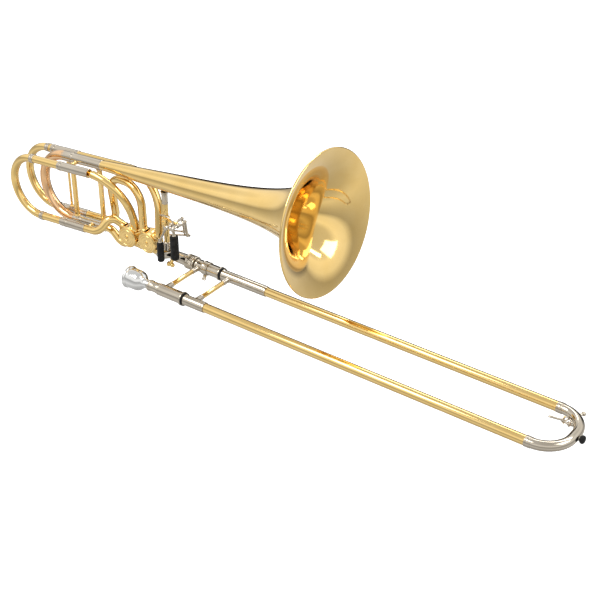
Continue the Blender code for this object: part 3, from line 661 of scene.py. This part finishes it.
def water_key():
    centre = Vector((BOW_X, TUBE_Y - BOW_R, 0))
    wall = BOW_R - OUTER_R
    way, post_way = (Vector((math.cos(a), math.sin(a), 0)) for a in (math.radians(32), math.radians(60)))
    seat = Shape().lathe(
        centre + way * (wall + 0.6), -way, [
            (0, 5.4), (0.9, 5.2), (1.5, 3.7), (4.2, 3.4), (4.9, 3.4), (4.9, 2.4), (0, 2.4),
        ],
        closed=True,
    )
    root = centre + post_way * wall
    for z in (-4.0, 4.0):
        seat.rod([root + Z * z * 0.6 + post_way, KEY_PIVOT + Z * z], 1.3)
        seat.ball(KEY_PIVOT + Z * z, 1.35)
    turn = Matrix.Rotation(math.radians(-30), 3, "Z")
    seat.block(root - post_way * 0.4, (11, 1.6, 7.4), turn, 0.6)
    bridge = [centre + way * (wall - 0.8), root - post_way * 0.8]
    seat.rod(bridge, 1.3)
    seat.done("key_seat_and_posts", NICKEL, "outer_slide", "water_key_seat")
    pad = centre + way * (wall - 4.9)
    Shape().lathe(pad, -way, [(0, 3.5), (0.4, 3.7), (2.2, 3.7)], soft=0.3).done(
        "key_cork_pad", CORK, "water_key", "water_key_cork"
    )
    back = pad - way * 2.0
    hub = KEY_PIVOT + Vector((-0.5, -1.8, 0))
    tip = KEY_PIVOT + Vector((-21, -5, 0))
    lever = Shape().lathe(back + way * 0.9, -way, [(0, 4.2), (1.8, 4.2), (2.4, 3.4), (2.8, 2.0)], soft=0.3)
    lever.rod(
        spline([back - way * 1.2, back - way * 1.0 + (hub - back) * 0.4, hub, hub * 0.5 + tip * 0.5, tip], 5),
        1.75,
    )
    lever.lathe(hub - Z * 3.1, Z, [(0, 1.9), (6.2, 1.9)])
    lever.ball(tip, 1.75)
    lever.done("rocking_key", NICKEL, "water_key", "water_key_lever")
    spring = Shape().coil(hub - Z * 2.9, Z, 2.3, 1.9, 4, 0.22)
    spring.coil(hub + Z * 1.0, Z, 2.3, 1.9, 4, 0.22)
    spring.done("key_spring", NICKEL, "water_key")
    Shape().lathe(
        KEY_PIVOT - Z * 6.2, Z, [(0, 1.5), (0.9, 1.5), (0.9, 0.8), (11.5, 0.8), (11.5, 1.5), (12.4, 1.5)],
    ).done(
        "key_hinge_pin", BRASS, "outer_slide"
    )


def slide_lock():
    axis = Vector((0, TUBE_Y, 0))
    start = Vector((LOCK_RING[0], TUBE_Y, 0))
    width = LOCK_RING[1] - LOCK_RING[0]
    inner = BARREL_R + 0.2
    profile = [(0, inner), (0, 11.6), (1, 12.2), (2, 11.8), (width - 2, 11.8)]
    profile += [(width - 1, 12.2), (width, 11.6), (width, inner)]
    ring = Shape().lathe(start, X, profile, closed=True, soft=0.2)
    hook = Matrix.Rotation(LUG_ANGLE - LOCK_TURN, 3, "X")
    tab = Matrix.Rotation(math.radians(150), 3, "X")
    hook_x = LUG_X[1] + 1.0
    arm_start = LOCK_RING[1] - 6
    for turn, centre, size in (
        (hook, (0.5 * (arm_start + hook_x + 2), 0, 15.0), (hook_x + 2 - arm_start, 4.4, 2.0)),
        (hook, (arm_start + 3, 0, 13.2), (4, 3.8, 4.0)),
        (hook, (hook_x + 0.9, 0, 13.7), (1.8, 3.8, 3.2)),
        (tab, (LOCK_RING[0] + 6, 0, 16.0), (7, 2.4, 9)),
    ):
        ring.block(axis + turn @ Vector(centre), size, turn, 0.5)
    knob = axis + tab @ Vector((LOCK_RING[0] + 6, 0, 20.0))
    ring.rod([knob - X * 3.2, knob + X * 3.2], 1.6)
    ring.done("lock_ring_and_hook", NICKEL, "slide_lock", "slide_lock_ring")


# Bell and its joint to the slide


def flare_radius(u):
    if u >= FLARE_END:
        return BELL_R * ((FLARE_REACH - u) / FLARE_REACH) ** -FLARE_POWER
    start = flare_radius(FLARE_END)
    return start + (TAIL_R - start) * (FLARE_END - u) / (FLARE_END - TAIL_END)


def bell():
    count = 72
    stations = [-1.05 + (TAIL_END + 1.05) * (1 - i / count) ** 2.4 for i in range(count + 1)]
    outside = [(u, flare_radius(u)) for u in stations]
    bead = []
    for degrees in (285, 262, 240, 215, 190, 165, 140, 115, 90, 68, 46, 24, 6):
        a = math.radians(degrees)
        bead.append((-BEAD_R + BEAD_R * math.cos(a), BELL_R - BEAD_R + BEAD_R * math.sin(a)))
    inside = []
    for u in reversed(stations):
        slope = (flare_radius(u + 0.05) - flare_radius(u - 0.05)) / 0.1
        size = math.hypot(1, slope)
        inside.append((u + BELL_WALL * slope / size, flare_radius(u) - BELL_WALL / size))
    Shape().lathe(RIM, BELL_U, outside + bead + inside, closed=True, sides=128, soft=0.0).done(
        "spun_bell", BRASS, "frame", "bell"
    )


def bell_joint():
    start = Vector((-58.0, TUBE_Y, 0))
    profile = [
        (0, 8.6), (0.8, 9.6), (2.6, 9.6), (3.2, 9.0), (5, 9.0), (6, 9.8), (16, 10.2), (28.6, 10.4),
        (47.5, 10.4),
    ]
    profile += [(47.5, 8.9), (19, 8.3), (17, 6.7), (0, 6.7)]
    Shape().lathe(start, X, profile, closed=True).done("neck_socket", NICKEL, "frame", "neck_receiver")
    nut = Vector((-28.5, TUBE_Y, 0))
    body = [
        (0, 11.2), (0, 12.8), (0.8, 13.2), (2.6, 13.3), (3.2, 12.7), (15.8, 12.7), (16.4, 13.3), (18.2, 13.3),
        (19, 12.6), (19, 11.2),
    ]
    ring = Shape().lathe(nut, X, body, closed=True, sides=64, soft=0.2)
    for i in range(36):
        turn = Matrix.Rotation(2 * math.pi * i / 36, 3, "X")
        ring.block(nut + X * 9.5 + turn @ Vector((0, 0, 12.9)), (11.4, 1.0, 0.7), turn, 0.25)
    ring.done("knurled_lock_nut", NICKEL, "bell_nut", "bell_lock_nut")


def neck_screw():
    """The small brass clamp screw under the neck."""
    root = Vector((-61, TUBE_Y, 0))
    way = Vector((0, -0.6, -0.8))
    lug = Shape().lathe(root + way * 7.5, way, [(0, 4.4), (1, 3.6), (8.5, 3.2)], sides=24)
    end = root + way * 17
    barrel = [(0, 2.6), (0.9, 4.4), (4.6, 4.4), (5.4, 3.0), (8.0, 3.0), (8.8, 4.0), (12.4, 4.0), (13.2, 2.8)]
    lug.lathe(end - X * 6.6, X, barrel)
    lug.screw(end + X * 6.5, X, 2.6, 1.2)
    lug.done("neck_clamp_screw", BRASS, "frame")


def bell_brace():
    bottom = Vector((BRACE_X, TUBE_Y, 8.3))
    lower = [
        (0, 7.4), (1.2, 7.3), (2.4, 6.5), (9, 6.3), (9.4, 5.9), (10.4, 5.9), (10.8, 6.3), (14, 6.2),
        (14.8, 5.4), (15, 5.0),
    ]
    Shape().lathe(bottom, Z, lower).done("brace_socket", NICKEL, "frame")
    Shape().lathe(
        bottom + Z * 14.5, Z, [(0, 5.0), (76, 5.0)],
    ).done("brace_tube", BRASS, "frame", "bell_brace")
    upper = [
        (89, 5.0), (89.6, 5.7), (91, 5.7), (91.4, 5.4), (107, 5.4), (107.4, 5.8), (109, 5.8), (110, 6.2),
        (112.5, 7.0),
    ]
    Shape().lathe(bottom, Z, upper).done("brace_ferrule", NICKEL, "frame")


# Valves


def port_of(key, quarter):
    angle = math.radians(45 + 90 * quarter + PORT_TURN[key])
    way = bell_way(angle)
    return bell_point(ROTOR_U[key], TUBE_Y, ROTOR_Q) + way * PORT_R, way


LEAN = math.atan2(LEVER_PIN.x, -LEVER_PIN.z) + LEVER_THROW / 2
QUARTER = math.radians(90)
ROTOR_ARM = LEVER_PIN.length * math.sin(LEVER_THROW / 2) / math.sin(QUARTER / 2)
ROTOR_PIN = Matrix.Rotation(-LEAN - QUARTER / 2, 3, "Y") @ Vector((0, 0, ROTOR_ARM))
SLOT = Matrix.Rotation(-LEAN, 3, "Y") @ Vector((0, 0, 2.0))


def across(angle):
    """Turns a block's Z to the direction at that angle above the bell's axis."""
    way = bell_way(angle)
    return Matrix((Y.cross(way), Y, way)).transposed()


def eye_pin(shape, pin):
    """The boss and the pin that carry a linkage's eye."""
    shape.lathe(pin - Y * 1.7, Y, [(0, 1.9), (3.9, 1.9), (3.9, 1.2), (7.4, 1.2)], sides=24)


def rotor(key):
    centre = bell_point(ROTOR_U[key], 0, ROTOR_Q)
    low, high = CASING_Y
    arm_y = ARM_Y[key]
    casing = [
        (low, CASING_R), (low + 2.2, CASING_R), (low + 2.6, CASING_R - 0.6), (high - 4.2, CASING_R - 0.6),
        (high - 3.8, CASING_R), (high - 1.2, CASING_R), (high, CASING_R - 1.2), (high, 3.4),
        (high - 3, 3.4), (high - 3, PLUG_R + GAP), (low, PLUG_R + GAP),
    ]
    Shape().lathe(centre, Y, casing, closed=True, sides=72, soft=0.25).done(
        "bored_casing_" + key, BRASS, "frame", "rotor_casing_" + key
    )
    cap = Shape()
    face = low - 3.4
    rings = [(face + 0.5, 2.6), (face, 3.0)]
    for r, depth in ((5.6, 0.5), (11.5, 0.3), (15.2, 0.6)):
        rings += [(face, r - 0.7), (face + depth, r - 0.35), (face + depth, r + 0.35), (face, r + 0.7)]
    rings += [(face, 17.8), (face + 0.9, 19.2), (face + 1.3, CASING_R), (low - 0.1, CASING_R)]
    cap.lathe(centre, Y, rings, sides=72, soft=0.15)
    cap.done("screwed_cap_" + key, BRASS, "frame", "rotor_cap_" + key)
    Shape().screw(centre + Y * (face + 0.35), -Y, 2.9, 1.3, 0.9 if key == "f" else 0.3).done(
        "cap_bearing_screw_" + key, BRASS, "frame"
    )
    plug = [
        (low + GAP, PLUG_R), (high - 3 - GAP, PLUG_R), (high - 3 - GAP, 3.0), (arm_y + PAST_ARM, 3.0),
    ]
    body = Shape().lathe(centre, Y, plug, sides=48)
    plane = centre + Y * arm_y
    pin = plane + ROTOR_PIN
    body.rod([plane, pin], 1.5)
    eye_pin(body, pin)
    body.screw(centre + Y * (arm_y + PAST_ARM - 0.2), Y, 2.2, 0.7)
    rest, pads = math.radians(144.5), (161.0, 38.0)
    tip = centre + Y * 61.7 + bell_way(rest) * 13.5
    body.block((centre + Y * 61.7 + tip) * 0.5, (3.0, 1.2, 13.5), across(rest), 0.3)
    body.done("plug_and_spindle_" + key, BRASS, "rotor_" + key, "rotor_" + key)
    bumpers, screws = Shape(), Shape()
    for degrees in pads:
        a = math.radians(degrees)
        way = bell_way(a)
        bumpers.lathe(centre + Y * (high - 0.2) + way * 13, Y, [(0, 2.3), (2.7, 2.3), (3.1, 1.9)], sides=24)
        a += math.radians(24)
        way = bell_way(a)
        screws.screw(centre + Y * (high - 0.1) + way * 16.4, Y, 1.7, 1.0, degrees)
    bumpers.done("stop_bumpers_" + key, RUBBER, "frame")
    screws.done("stop_screws_" + key, BRASS, "frame")


def tube_piece(name, node, corners, radii, slot, outer=VALVE_TUBE_R):
    Shape().along(route(corners, radii), outer, VALVE_BORE).done(name, slot, "frame", node)


def valve_tubes():
    f_ports = [port_of("f", i) for i in range(4)]
    gb_ports = [port_of("gb", i) for i in range(4)]
    port, way = f_ports[3]
    corners = [Vector((-58.1, TUBE_Y, 0)), Vector((-69, TUBE_Y, 0)), port + way * 10, port]
    tube_piece("neckpipe_bend", "neckpipe", corners, [20, 12], NICKEL, 8.0)
    port, way = f_ports[2]
    into, _ = gb_ports[3]
    half = 0.5 * (port - into).dot(BELL_U)
    tube_piece("link_bend", "rotor_link", [port, port - way * (half / way.dot(BELL_U)), into], [9.5], BRASS)
    port, way = gb_ports[2]
    y, _, q, _ = MAIN_LOOP
    corners = [
        port, port + way * 9, bell_point(-468, y, q - 18), bell_point(-484, y, q), bell_point(-496.9, y, q),
    ]
    tube_piece("main_bend", "main_crook", corners, [9, 24, 22], BRASS)
    y, upper, lower, _ = GB_LOOP
    port, way = gb_ports[0]
    corners = [port, port + way * 3.2, bell_point(-415, y, upper), bell_point(-487.9, y, upper)]
    tube_piece("gb_upper_bend", "gb_upper_crook", corners, [8, 70], BRASS)
    port, way = gb_ports[1]
    corners = [
        bell_point(-518.9, y, lower), bell_point(-487, y, lower), bell_point(-470, 38, -91), port + way * 7,
        port,
    ]
    tube_piece("gb_lower_bend", "gb_lower_crook", corners, [22, 13, 10], BRASS)
    y, upper, lower, _ = F_LOOP
    port, way = f_ports[0]
    corners = [port, port + way * 7, bell_point(-374, y, upper), bell_point(-564.9, y, upper)]
    tube_piece("f_upper_bend", "f_upper_crook", corners, [11, 70], BRASS)
    port, way = f_ports[1]
    corners = [port, port + way * 3.2, bell_point(-400, 51, -24), bell_point(-482, 60, -24)]
    corners += [bell_point(-492, y, lower), bell_point(-564.9, y, lower)]
    tube_piece("f_return_bend", "f_return_crook", corners, [8, 36, 36, 30], BRASS)
    for key, ports in (("f", f_ports), ("gb", gb_ports)):
        collars = Shape()
        for port, way in ports:
            profile = [
                (-1.2, FERRULE_BORE), (-1.2, 9.6), (0.6, 9.6), (1.4, 8.6), (3.4, 8.3), (3.4, FERRULE_BORE),
            ]
            collars.lathe(port, way, profile, closed=True, soft=0.3)
        collars.done("port_collars_" + key, BRASS, "frame")


def sleeve(name, node, span, y, q, outer, inner):
    """A fixed sleeve with a groove near the pull end, and a lip that closes its other end."""
    length = span[1] - span[0]
    profile = [(0, inner), (0, outer), (2.4, outer), (2.9, outer - 0.5)]
    profile += [(3.7, outer - 0.5), (4.2, outer - 0.15)]
    profile += [
        (length - 4.2, outer - 0.15), (length - 3.7, outer), (length - 0.8, outer), (length, outer - 0.6),
    ]
    profile += [(length, 5.6), (length - 0.6, 5.6), (length - 0.6, inner)]
    Shape().lathe(
        bell_point(span[0], y, q), BELL_U, profile, closed=True, soft=0.2,
    ).done(name, NICKEL, "frame", node)


def fixed_sleeves():
    y, upper, lower, _ = MAIN_LOOP
    sleeve("tail_sleeve", "main_upper_sleeve", (-556.0, TAIL_END + 0.2), y, upper, TAIL_SLEEVE_R, 8.5)
    sleeve(
        "main_return_sleeve", "main_lower_sleeve", (-560.0, -497.0), y, lower, MAIN_LOWER_R,
        VALVE_SLEEVE_BORE,
    )
    y, upper, lower, _ = GB_LOOP
    sleeve("gb_top_sleeve", "gb_upper_sleeve", (-557.0, -487.8), y, upper, VALVE_SLEEVE_R, VALVE_SLEEVE_BORE)
    sleeve("gb_low_sleeve", "gb_lower_sleeve", (-566.0, -518.8), y, lower, VALVE_SLEEVE_R, VALVE_SLEEVE_BORE)
    y, upper, lower, _ = F_LOOP
    sleeve("f_top_sleeve", "f_upper_sleeve", (-626.0, -565.0), y, upper, VALVE_SLEEVE_R, VALVE_SLEEVE_BORE)
    sleeve("f_low_sleeve", "f_lower_sleeve", (-626.0, -565.0), y, lower, VALVE_SLEEVE_R, VALVE_SLEEVE_BORE)


def loop_path(loop, upper_end, lower_end):
    y, upper, lower, start = loop
    radius = 0.5 * (upper - lower)
    middle = 0.5 * (upper + lower)
    path = [bell_point(upper_end, y, upper)]
    for i in range(41):
        a = math.pi * i / 40
        path.append(bell_point(start - radius * math.sin(a), y, middle + radius * math.cos(a)))
    return [*path, bell_point(lower_end, y, lower)]


def collar(name, body, span, y, q, outer, inner):
    """The ferrule by which a tuning slide meets its fixed sleeve."""
    length = span[1] - span[0]
    profile = [(0, inner), (0, outer - 0.5), (0.6, outer - 0.1), (length - 1.4, outer - 0.1)]
    profile += [(length - 1.1, outer + 0.25), (length - 0.2, outer + 0.25), (length, outer), (length, inner)]
    Shape().lathe(bell_point(span[0], y, q), BELL_U, profile, closed=True, soft=0.2).done(name, NICKEL, body)


def tuning_slides():
    y, upper, lower, start = MAIN_LOOP
    path = loop_path(MAIN_LOOP, start + 3.6, start + 3.6)
    outers = [TAIL_SLEEVE_R - 0.1 - 0.9 * i / (len(path) - 1) for i in range(len(path))]
    Shape().along(
        path, outers, [r - 0.9 for r in outers], sides=48,
    ).done("main_bow_bend", ROSE, "main_slide", "main_bow")
    legs = start + 3.8
    for name, node, q, outer, inner, length in (
        ("main_top_leg", "main_upper_leg", upper, 8.2, 7.3, 80),
        ("main_low_leg", "main_lower_leg", lower, 7.3, VALVE_BORE, 70),
    ):
        Shape().pipe(
            bell_point(legs, y, q), BELL_U, length, outer, inner,
        ).done(name, NICKEL, "main_slide", node)
    collar("main_top_collar", "main_slide", (start - 0.5, -556.3), y, upper, TAIL_SLEEVE_R, 8.25)
    collar("main_low_collar", "main_slide", (start - 0.5, -560.3), y, lower, MAIN_LOWER_R, FERRULE_BORE)
    collar(
        "gb_top_collar", "gb_slide", (-562.5, -557.3), GB_LOOP[0], GB_LOOP[1], VALVE_SLEEVE_R, FERRULE_BORE,
    )
    collar(
        "gb_low_collar", "gb_slide", (-580.0, -566.3), GB_LOOP[0], GB_LOOP[2], VALVE_SLEEVE_R, FERRULE_BORE,
    )
    collar("f_top_collar", "f_slide", (-632.0, -626.3), F_LOOP[0], F_LOOP[1], VALVE_SLEEVE_R, FERRULE_BORE)
    collar("f_low_collar", "f_slide", (-632.0, -626.3), F_LOOP[0], F_LOOP[2], VALVE_SLEEVE_R, FERRULE_BORE)
    for name, node, body, loop, ends, collars in (
        ("gb_slide_bend", "gb_slide", "gb_slide", GB_LOOP, (-500.0, -531.0), (-632.0, -632.0)),
        ("f_slide_bend", "f_slide", "f_slide", F_LOOP, (-570.0, -570.0), (-646.0, -646.0)),
    ):
        Shape().along(loop_path(loop, *ends), 7.3, VALVE_BORE).done(name, BRASS, body, node)
        bands = Shape()
        for u, q in zip(collars, loop[1:3]):
            profile = [
                (-1, FERRULE_BORE), (-1, 7.9), (0, 8.3), (1.6, 8.3), (2.2, 7.8), (5.2, 7.8), (5.8, 8.3),
                (7.4, 8.3), (8, 7.9), (8, FERRULE_BORE),
            ]
            bands.lathe(bell_point(u, loop[0], q), BELL_U, profile, closed=True, soft=0.2)
        bands.done(name + "_ferrules", NICKEL, body)


def height(x, q):
    return RIM.z + (x - RIM.x) * BELL_U.z / BELL_U.x + q / BELL_U.x


def upright(name, node, x, y, top, bottom, radius, tube_top, tube_bottom):
    """A strut with cupped ends, each in an oval foot on its tube."""
    foot = height(x, bottom)
    length = height(x, top) - foot
    cup = radius + 1.4
    profile = [(-0.3, cup), (1.2, cup), (2.4, radius + 0.3), (4, radius)]
    profile += [(length - r[0], r[1]) for r in reversed(profile)]
    Shape().lathe(Vector((x, y, foot)), Z, profile).done(name, BRASS, "frame", node)
    feet = Shape()
    feet.saddle(Vector((x, y, height(x, bottom) - tube_bottom)), BELL_U, Z, tube_bottom, 17, 14)
    feet.saddle(Vector((x, y, height(x, top) + tube_top)), BELL_U, -Z, tube_top, 17, 14)
    feet.done(name + "_feet", NICKEL, "frame")


def struts():
    for end, x in (("rear", -292.5), ("front", -226.0)):
        upright(
            end + "_upright", end + "_strut", x, TUBE_Y, -TAIL_SLEEVE_R, -124 + MAIN_LOWER_R, 4.6,
            TAIL_SLEEVE_R, MAIN_LOWER_R,
        )
    upright(
        "f_upright", "f_strut", -330.0, F_LOOP[0], -6 - VALVE_SLEEVE_R, -124 + VALVE_SLEEVE_R, 2.3,
        VALVE_SLEEVE_R, VALVE_SLEEVE_R,
    )
    for name, node, u, q, end in (
        ("gb_top_stay", "gb_upper_stay", -541, -3.0, TUBE_Y - TAIL_SLEEVE_R),
        ("gb_low_stay", "gb_lower_stay", -524, -121.0, TUBE_Y - MAIN_LOWER_R),
    ):
        start = GB_LOOP[0] + VALVE_SLEEVE_R
        length = end - start
        ends = [(0, 4.2), (0.9, 4.0), (2.0, 2.5), (length - 2, 2.5), (length - 0.9, 4.0), (length, 4.2)]
        Shape().lathe(bell_point(u, start, q), Y, ends).done(name, BRASS, "frame", node)


# Levers


def at(pivot, y):
    return Vector((pivot.x, y, pivot.z))


PIVOTS = {key: joint_point("lever_" + key + "_press") for key in ("f", "gb")}


def lever_bracket():
    low, high = TUBE_Y - 8, TUBE_Y + 8
    bearings, bracket = Shape(), Shape()
    for pivot in PIVOTS.values():
        profile = [(0, 3.7), (0.4, 4.0), (2, 4.0), (2.4, 3.5)]
        profile += [(high - low - x, r) for x, r in reversed(profile)] + [(high - low, 2.6), (0, 2.6)]
        bearings.lathe(at(pivot, low), Y, profile, closed=True)
    bearings.done("lever_bearings", NICKEL, "frame")
    bracket.lathe(
        Vector((BRACE_X, TUBE_Y, 59)), Z, [(0, 7.2), (0.6, 7.6), (11.4, 7.6), (12, 7.2), (12, 5.1), (0, 5.1)],
        closed=True,
    )
    bracket.block(Vector((-60, TUBE_Y, 65)), (24, 5, 5), None, 0.8)
    bracket.done("bearing_bracket", BRASS, "frame", "lever_bracket")
    arch = [(
        -75.5, 44.6, 74.5,
    ), (-79, 40, 77.5), (-76, 37.5, 80.5), (-68, 36, 83), (-60, 35, 83.3), (-52, 34.5, 81.5),
            (-47, 34.5, 77.5), (-44.6, 34.8, 72.5), (-44, 35, 69.6)]
    Shape().rod(spline(arch, 5), 1.15).done("arched_return_spring", NICKEL, "frame")
    screws = Shape()
    for x in (-68.5, -51.5):
        screws.screw(Vector((x, TUBE_Y - 2.5, 65)), -Y, 1.9, 1.1, 0.7 if x < -60 else 0.2)
    screws.screw(Vector((BRACE_X, TUBE_Y - 7.5, 65)), -Y, 2.1, 1.2, 1.1)
    screws.done("bracket_screws", BRASS, "frame")


def lever(key, top, bottom, grip_r):
    pivot = PIVOTS[key]
    arm_y = ARM_Y[key]
    body = "lever_" + key
    shaft_start = GRIP_Y - 2
    shape = Shape().lathe(
        at(pivot, shaft_start), Y, [(0, 2.3), (arm_y + PAST_ARM - shaft_start, 2.3)], sides=24,
    )
    shape.lathe(at(pivot, GRIP_Y - 3), Y, [(0, 3.4), (0.4, 3.8), (5.6, 3.8), (6, 3.4)], sides=32)
    shoulder = Vector((top[0], GRIP_Y, top[1] + 3))
    corners = [at(pivot, GRIP_Y), shoulder, Vector((bottom[0], GRIP_Y, bottom[1] + 1))]
    shape.rod(route(corners, [3 if key == "f" else 8]), 2.0)
    pin = at(pivot, arm_y) + LEVER_PIN
    shape.rod([at(pivot, arm_y), pin], 2.1)
    shape.ball(at(pivot, arm_y), 3.0, Y)
    shape.lathe(Vector((top[0], GRIP_Y, top[1])), Z, [(0, 3.6), (1.2, 3.6), (2.0, 2.9), (7.5, 2.7)], sides=32)
    eye_pin(shape, pin)
    shape.done("thumb_lever_" + key, NICKEL, body, body)
    length = top[1] - bottom[1]
    inner = 2.1
    shell = [
        (0, grip_r - 2.2), (0.8, grip_r - 0.8), (2.4, grip_r), (length - 2.4, grip_r),
        (length - 0.8, grip_r - 0.8), (length, grip_r - 2.2), (length, inner), (0, inner),
    ]
    Shape().lathe(Vector((bottom[0], GRIP_Y, bottom[1])), Z, shell, closed=True, soft=0.8).done(
        "rubber_roller_" + key, RUBBER, body, "lever_grip_" + key
    )
    tip = Vector((bottom[0], GRIP_Y, bottom[1]))
    ends = Shape().lathe(tip - Z * 0.2, Z, [(0, 3.0), (0.8, 4.4), (1.0, 4.4)], sides=32)
    ends.lathe(tip + Z * (length - 0.4), Z, [(0, 3.9), (1.6, 3.9), (2.2, 2.6)], sides=32)
    ends.done("roller_end_caps_" + key, NICKEL, body)


def eye(shape, centre, slot):
    """A flat ring round a pin, stretched by the slot, whose origin is where the pin rests."""
    along = slot.normalized() if slot.length else Z
    across = Y.cross(along)

    def outline(radius, y):
        points = []
        for i in range(36):
            angle = math.radians(10 * i)
            point = centre + Y * y + (across * math.cos(angle) + along * math.sin(angle)) * radius
            points.append(point + slot if 0 < i < 18 else point)
        return points

    levels = [(2.8, 0), (3.1, 0.3), (3.1, 2.3), (2.8, 2.6), (1.7, 2.6), (1.7, 0)]
    shape.skin([outline(r, y) for r, y in levels], True)


def linkage(key):
    pivot, arm_y = PIVOTS[key], ARM_Y[key]
    plane = Y * (PAST_ARM + GAP)
    near = at(pivot, arm_y) + LEVER_PIN + plane
    far = bell_point(ROTOR_U[key], arm_y, ROTOR_Q) + ROTOR_PIN + plane
    shape = Shape()
    eye(shape, near, Vector((0, 0, 0)))
    eye(shape, far, SLOT)
    way = (far - near).normalized()
    middle = Y * 1.3
    shape.rod([near + way * 3.0 + middle, far - way * 3.0 + middle], 1.5)
    reach = (far - near).length
    for start, length in ((3.0, 9.0), (reach - 11.0, 8.0)):
        shape.lathe(
            near + way * start + middle, way, [(0, 1.6), (0.8, 2.1), (length - 1, 2.1), (length, 1.5)],
            sides=6,
        )
    shape.done("linkage_rod_" + key, NICKEL, "linkage_" + key, "linkage_" + key)


# Studio


def studio():
    floor_mesh = bpy.data.meshes.new("floor")
    shape = bmesh.new()
    reach = 40.0
    shape.faces.new([
        shape.verts.new((x, y, FLOOR_Z)) for x,
        y in ((-reach, -reach), (reach, -reach), (reach, reach), (-reach, reach))
    ])
    shape.to_mesh(floor_mesh)
    shape.free()
    floor = bpy.data.objects.new("floor", floor_mesh)
    bpy.context.scene.collection.objects.link(floor)
    floor.visible_glossy = False
    paint = bpy.data.materials.new("pale_floor")
    paint.use_nodes = True
    shader = paint.node_tree.nodes["Principled BSDF"]
    shader.inputs["Base Color"].default_value = (0.9, 0.9, 0.9, 1)
    shader.inputs["Roughness"].default_value = 0.9
    shader.inputs["Specular IOR Level"].default_value = 0.1
    shader.inputs["Emission Color"].default_value = (1, 1, 1, 1)
    shader.inputs["Emission Strength"].default_value = 0.45
    floor_mesh.materials.append(paint)
    world()
    for name, place, size, power in (
        ("key", (-1.2, -2.0, 3.2), (2.2, 1.6), 60.0),
        ("fill", (2.6, 0.6, 2.4), (1.6, 1.6), 25.0),
        ("strip", (0.2, 1.6, 2.0), (3.0, 0.35), 18.0),
    ):
        lamp = bpy.data.lights.new(name, "AREA")
        lamp.shape = "RECTANGLE"
        lamp.size, lamp.size_y = size
        lamp.energy = power
        made = bpy.data.objects.new(name, lamp)
        made.location = place
        made.rotation_euler = (Vector((0.1, 0, 0.1)) - Vector(place)).to_track_quat("-Z", "Y").to_euler()
        made.visible_camera = False
        bpy.context.scene.collection.objects.link(made)


def world():
    """White to the camera. In reflections: bright above, grey below, and a dark band behind the trombone,
    which is left out straight along -X."""
    made = bpy.data.worlds.new("studio")
    bpy.context.scene.world = made
    made.use_nodes = True
    made.node_tree.nodes.clear()
    nodes = Nodes(made)
    parts = nodes.add("ShaderNodeSeparateXYZ")
    nodes.link(nodes.coords["Generated"], parts.inputs[0])
    x, y, z = parts.outputs
    rise = nodes.math("MULTIPLY_ADD", z, 0.5, 0.5)
    back = nodes.ramp(rise, [(0.0, 0.6), (0.22, 0.8), (0.25, 0.02), (0.67, 0.02), (0.71, 1.0), (1.0, 1.0)])
    stops = [
        (0.0, 0.5), (0.12, 0.6), (0.25, 0.85), (0.42, 0.58), (0.53, 0.45), (0.62, 0.95), (0.76, 1.1),
        (0.85, 0.75), (0.95, 0.7),
    ]
    front = nodes.ramp(rise, stops)
    behind = nodes.math("ADD", nodes.math("MULTIPLY", x, -0.59), nodes.math("MULTIPLY", y, 0.81))
    ahead = nodes.math("MULTIPLY_ADD", x, 0.5, 0.5)
    aside = nodes.ramp(ahead, [(0.13, 0.0), (0.165, 1.0)])
    blend = nodes.math("MULTIPLY", nodes.ramp(behind, [(0.62, 0.0), (0.78, 1.0)]), aside)
    seen = nodes.add("ShaderNodeBackground")
    seen.inputs["Color"].default_value = (1, 1, 1, 1)
    felt = nodes.add("ShaderNodeBackground")
    nodes.link(nodes.mix(blend, front, back), felt.inputs["Color"])
    felt.inputs["Strength"].default_value = 1.06
    choose = nodes.add("ShaderNodeMixShader")
    nodes.link(nodes.add("ShaderNodeLightPath").outputs["Is Camera Ray"], choose.inputs[0])
    nodes.link(felt.outputs[0], choose.inputs[1])
    nodes.link(seen.outputs[0], choose.inputs[2])
    nodes.link(choose.outputs[0], nodes.add("ShaderNodeOutputWorld").inputs[0])


def camera():
    data = bpy.data.cameras.new("camera")
    data.sensor_width = 36.0
    data.lens = CAMERA_LENS
    data.clip_end = 100.0
    made = bpy.data.objects.new("camera", data)
    made.location = CAMERA_AT
    azimuth, elevation = math.radians(CAMERA_AZIMUTH), math.radians(CAMERA_ELEVATION)
    back = Vector((
        math.sin(azimuth) * math.cos(elevation), -math.cos(azimuth) * math.cos(elevation),
        math.sin(elevation),
    ))
    made.rotation_mode = "QUATERNION"
    made.rotation_quaternion = (-back).to_track_quat("-Z", "Y")
    bpy.context.scene.collection.objects.link(made)
    bpy.context.scene.camera = made
    bpy.context.scene.view_settings.view_transform = "Standard"


slide_tubes()
cork_barrels()
slide_braces()
mouthpiece_and_receiver()
slide_bow()
water_key()
slide_lock()
bell()
bell_joint()
neck_screw()
bell_brace()
rotor("f")
rotor("gb")
valve_tubes()
fixed_sleeves()
tuning_slides()
struts()
lever_bracket()
lever("f", (-41, 54), (-41, 8), 7.5)
lever("gb", (-74, 31), (-74, -7), 6.2)
linkage("f")
linkage("gb")
studio()
camera()
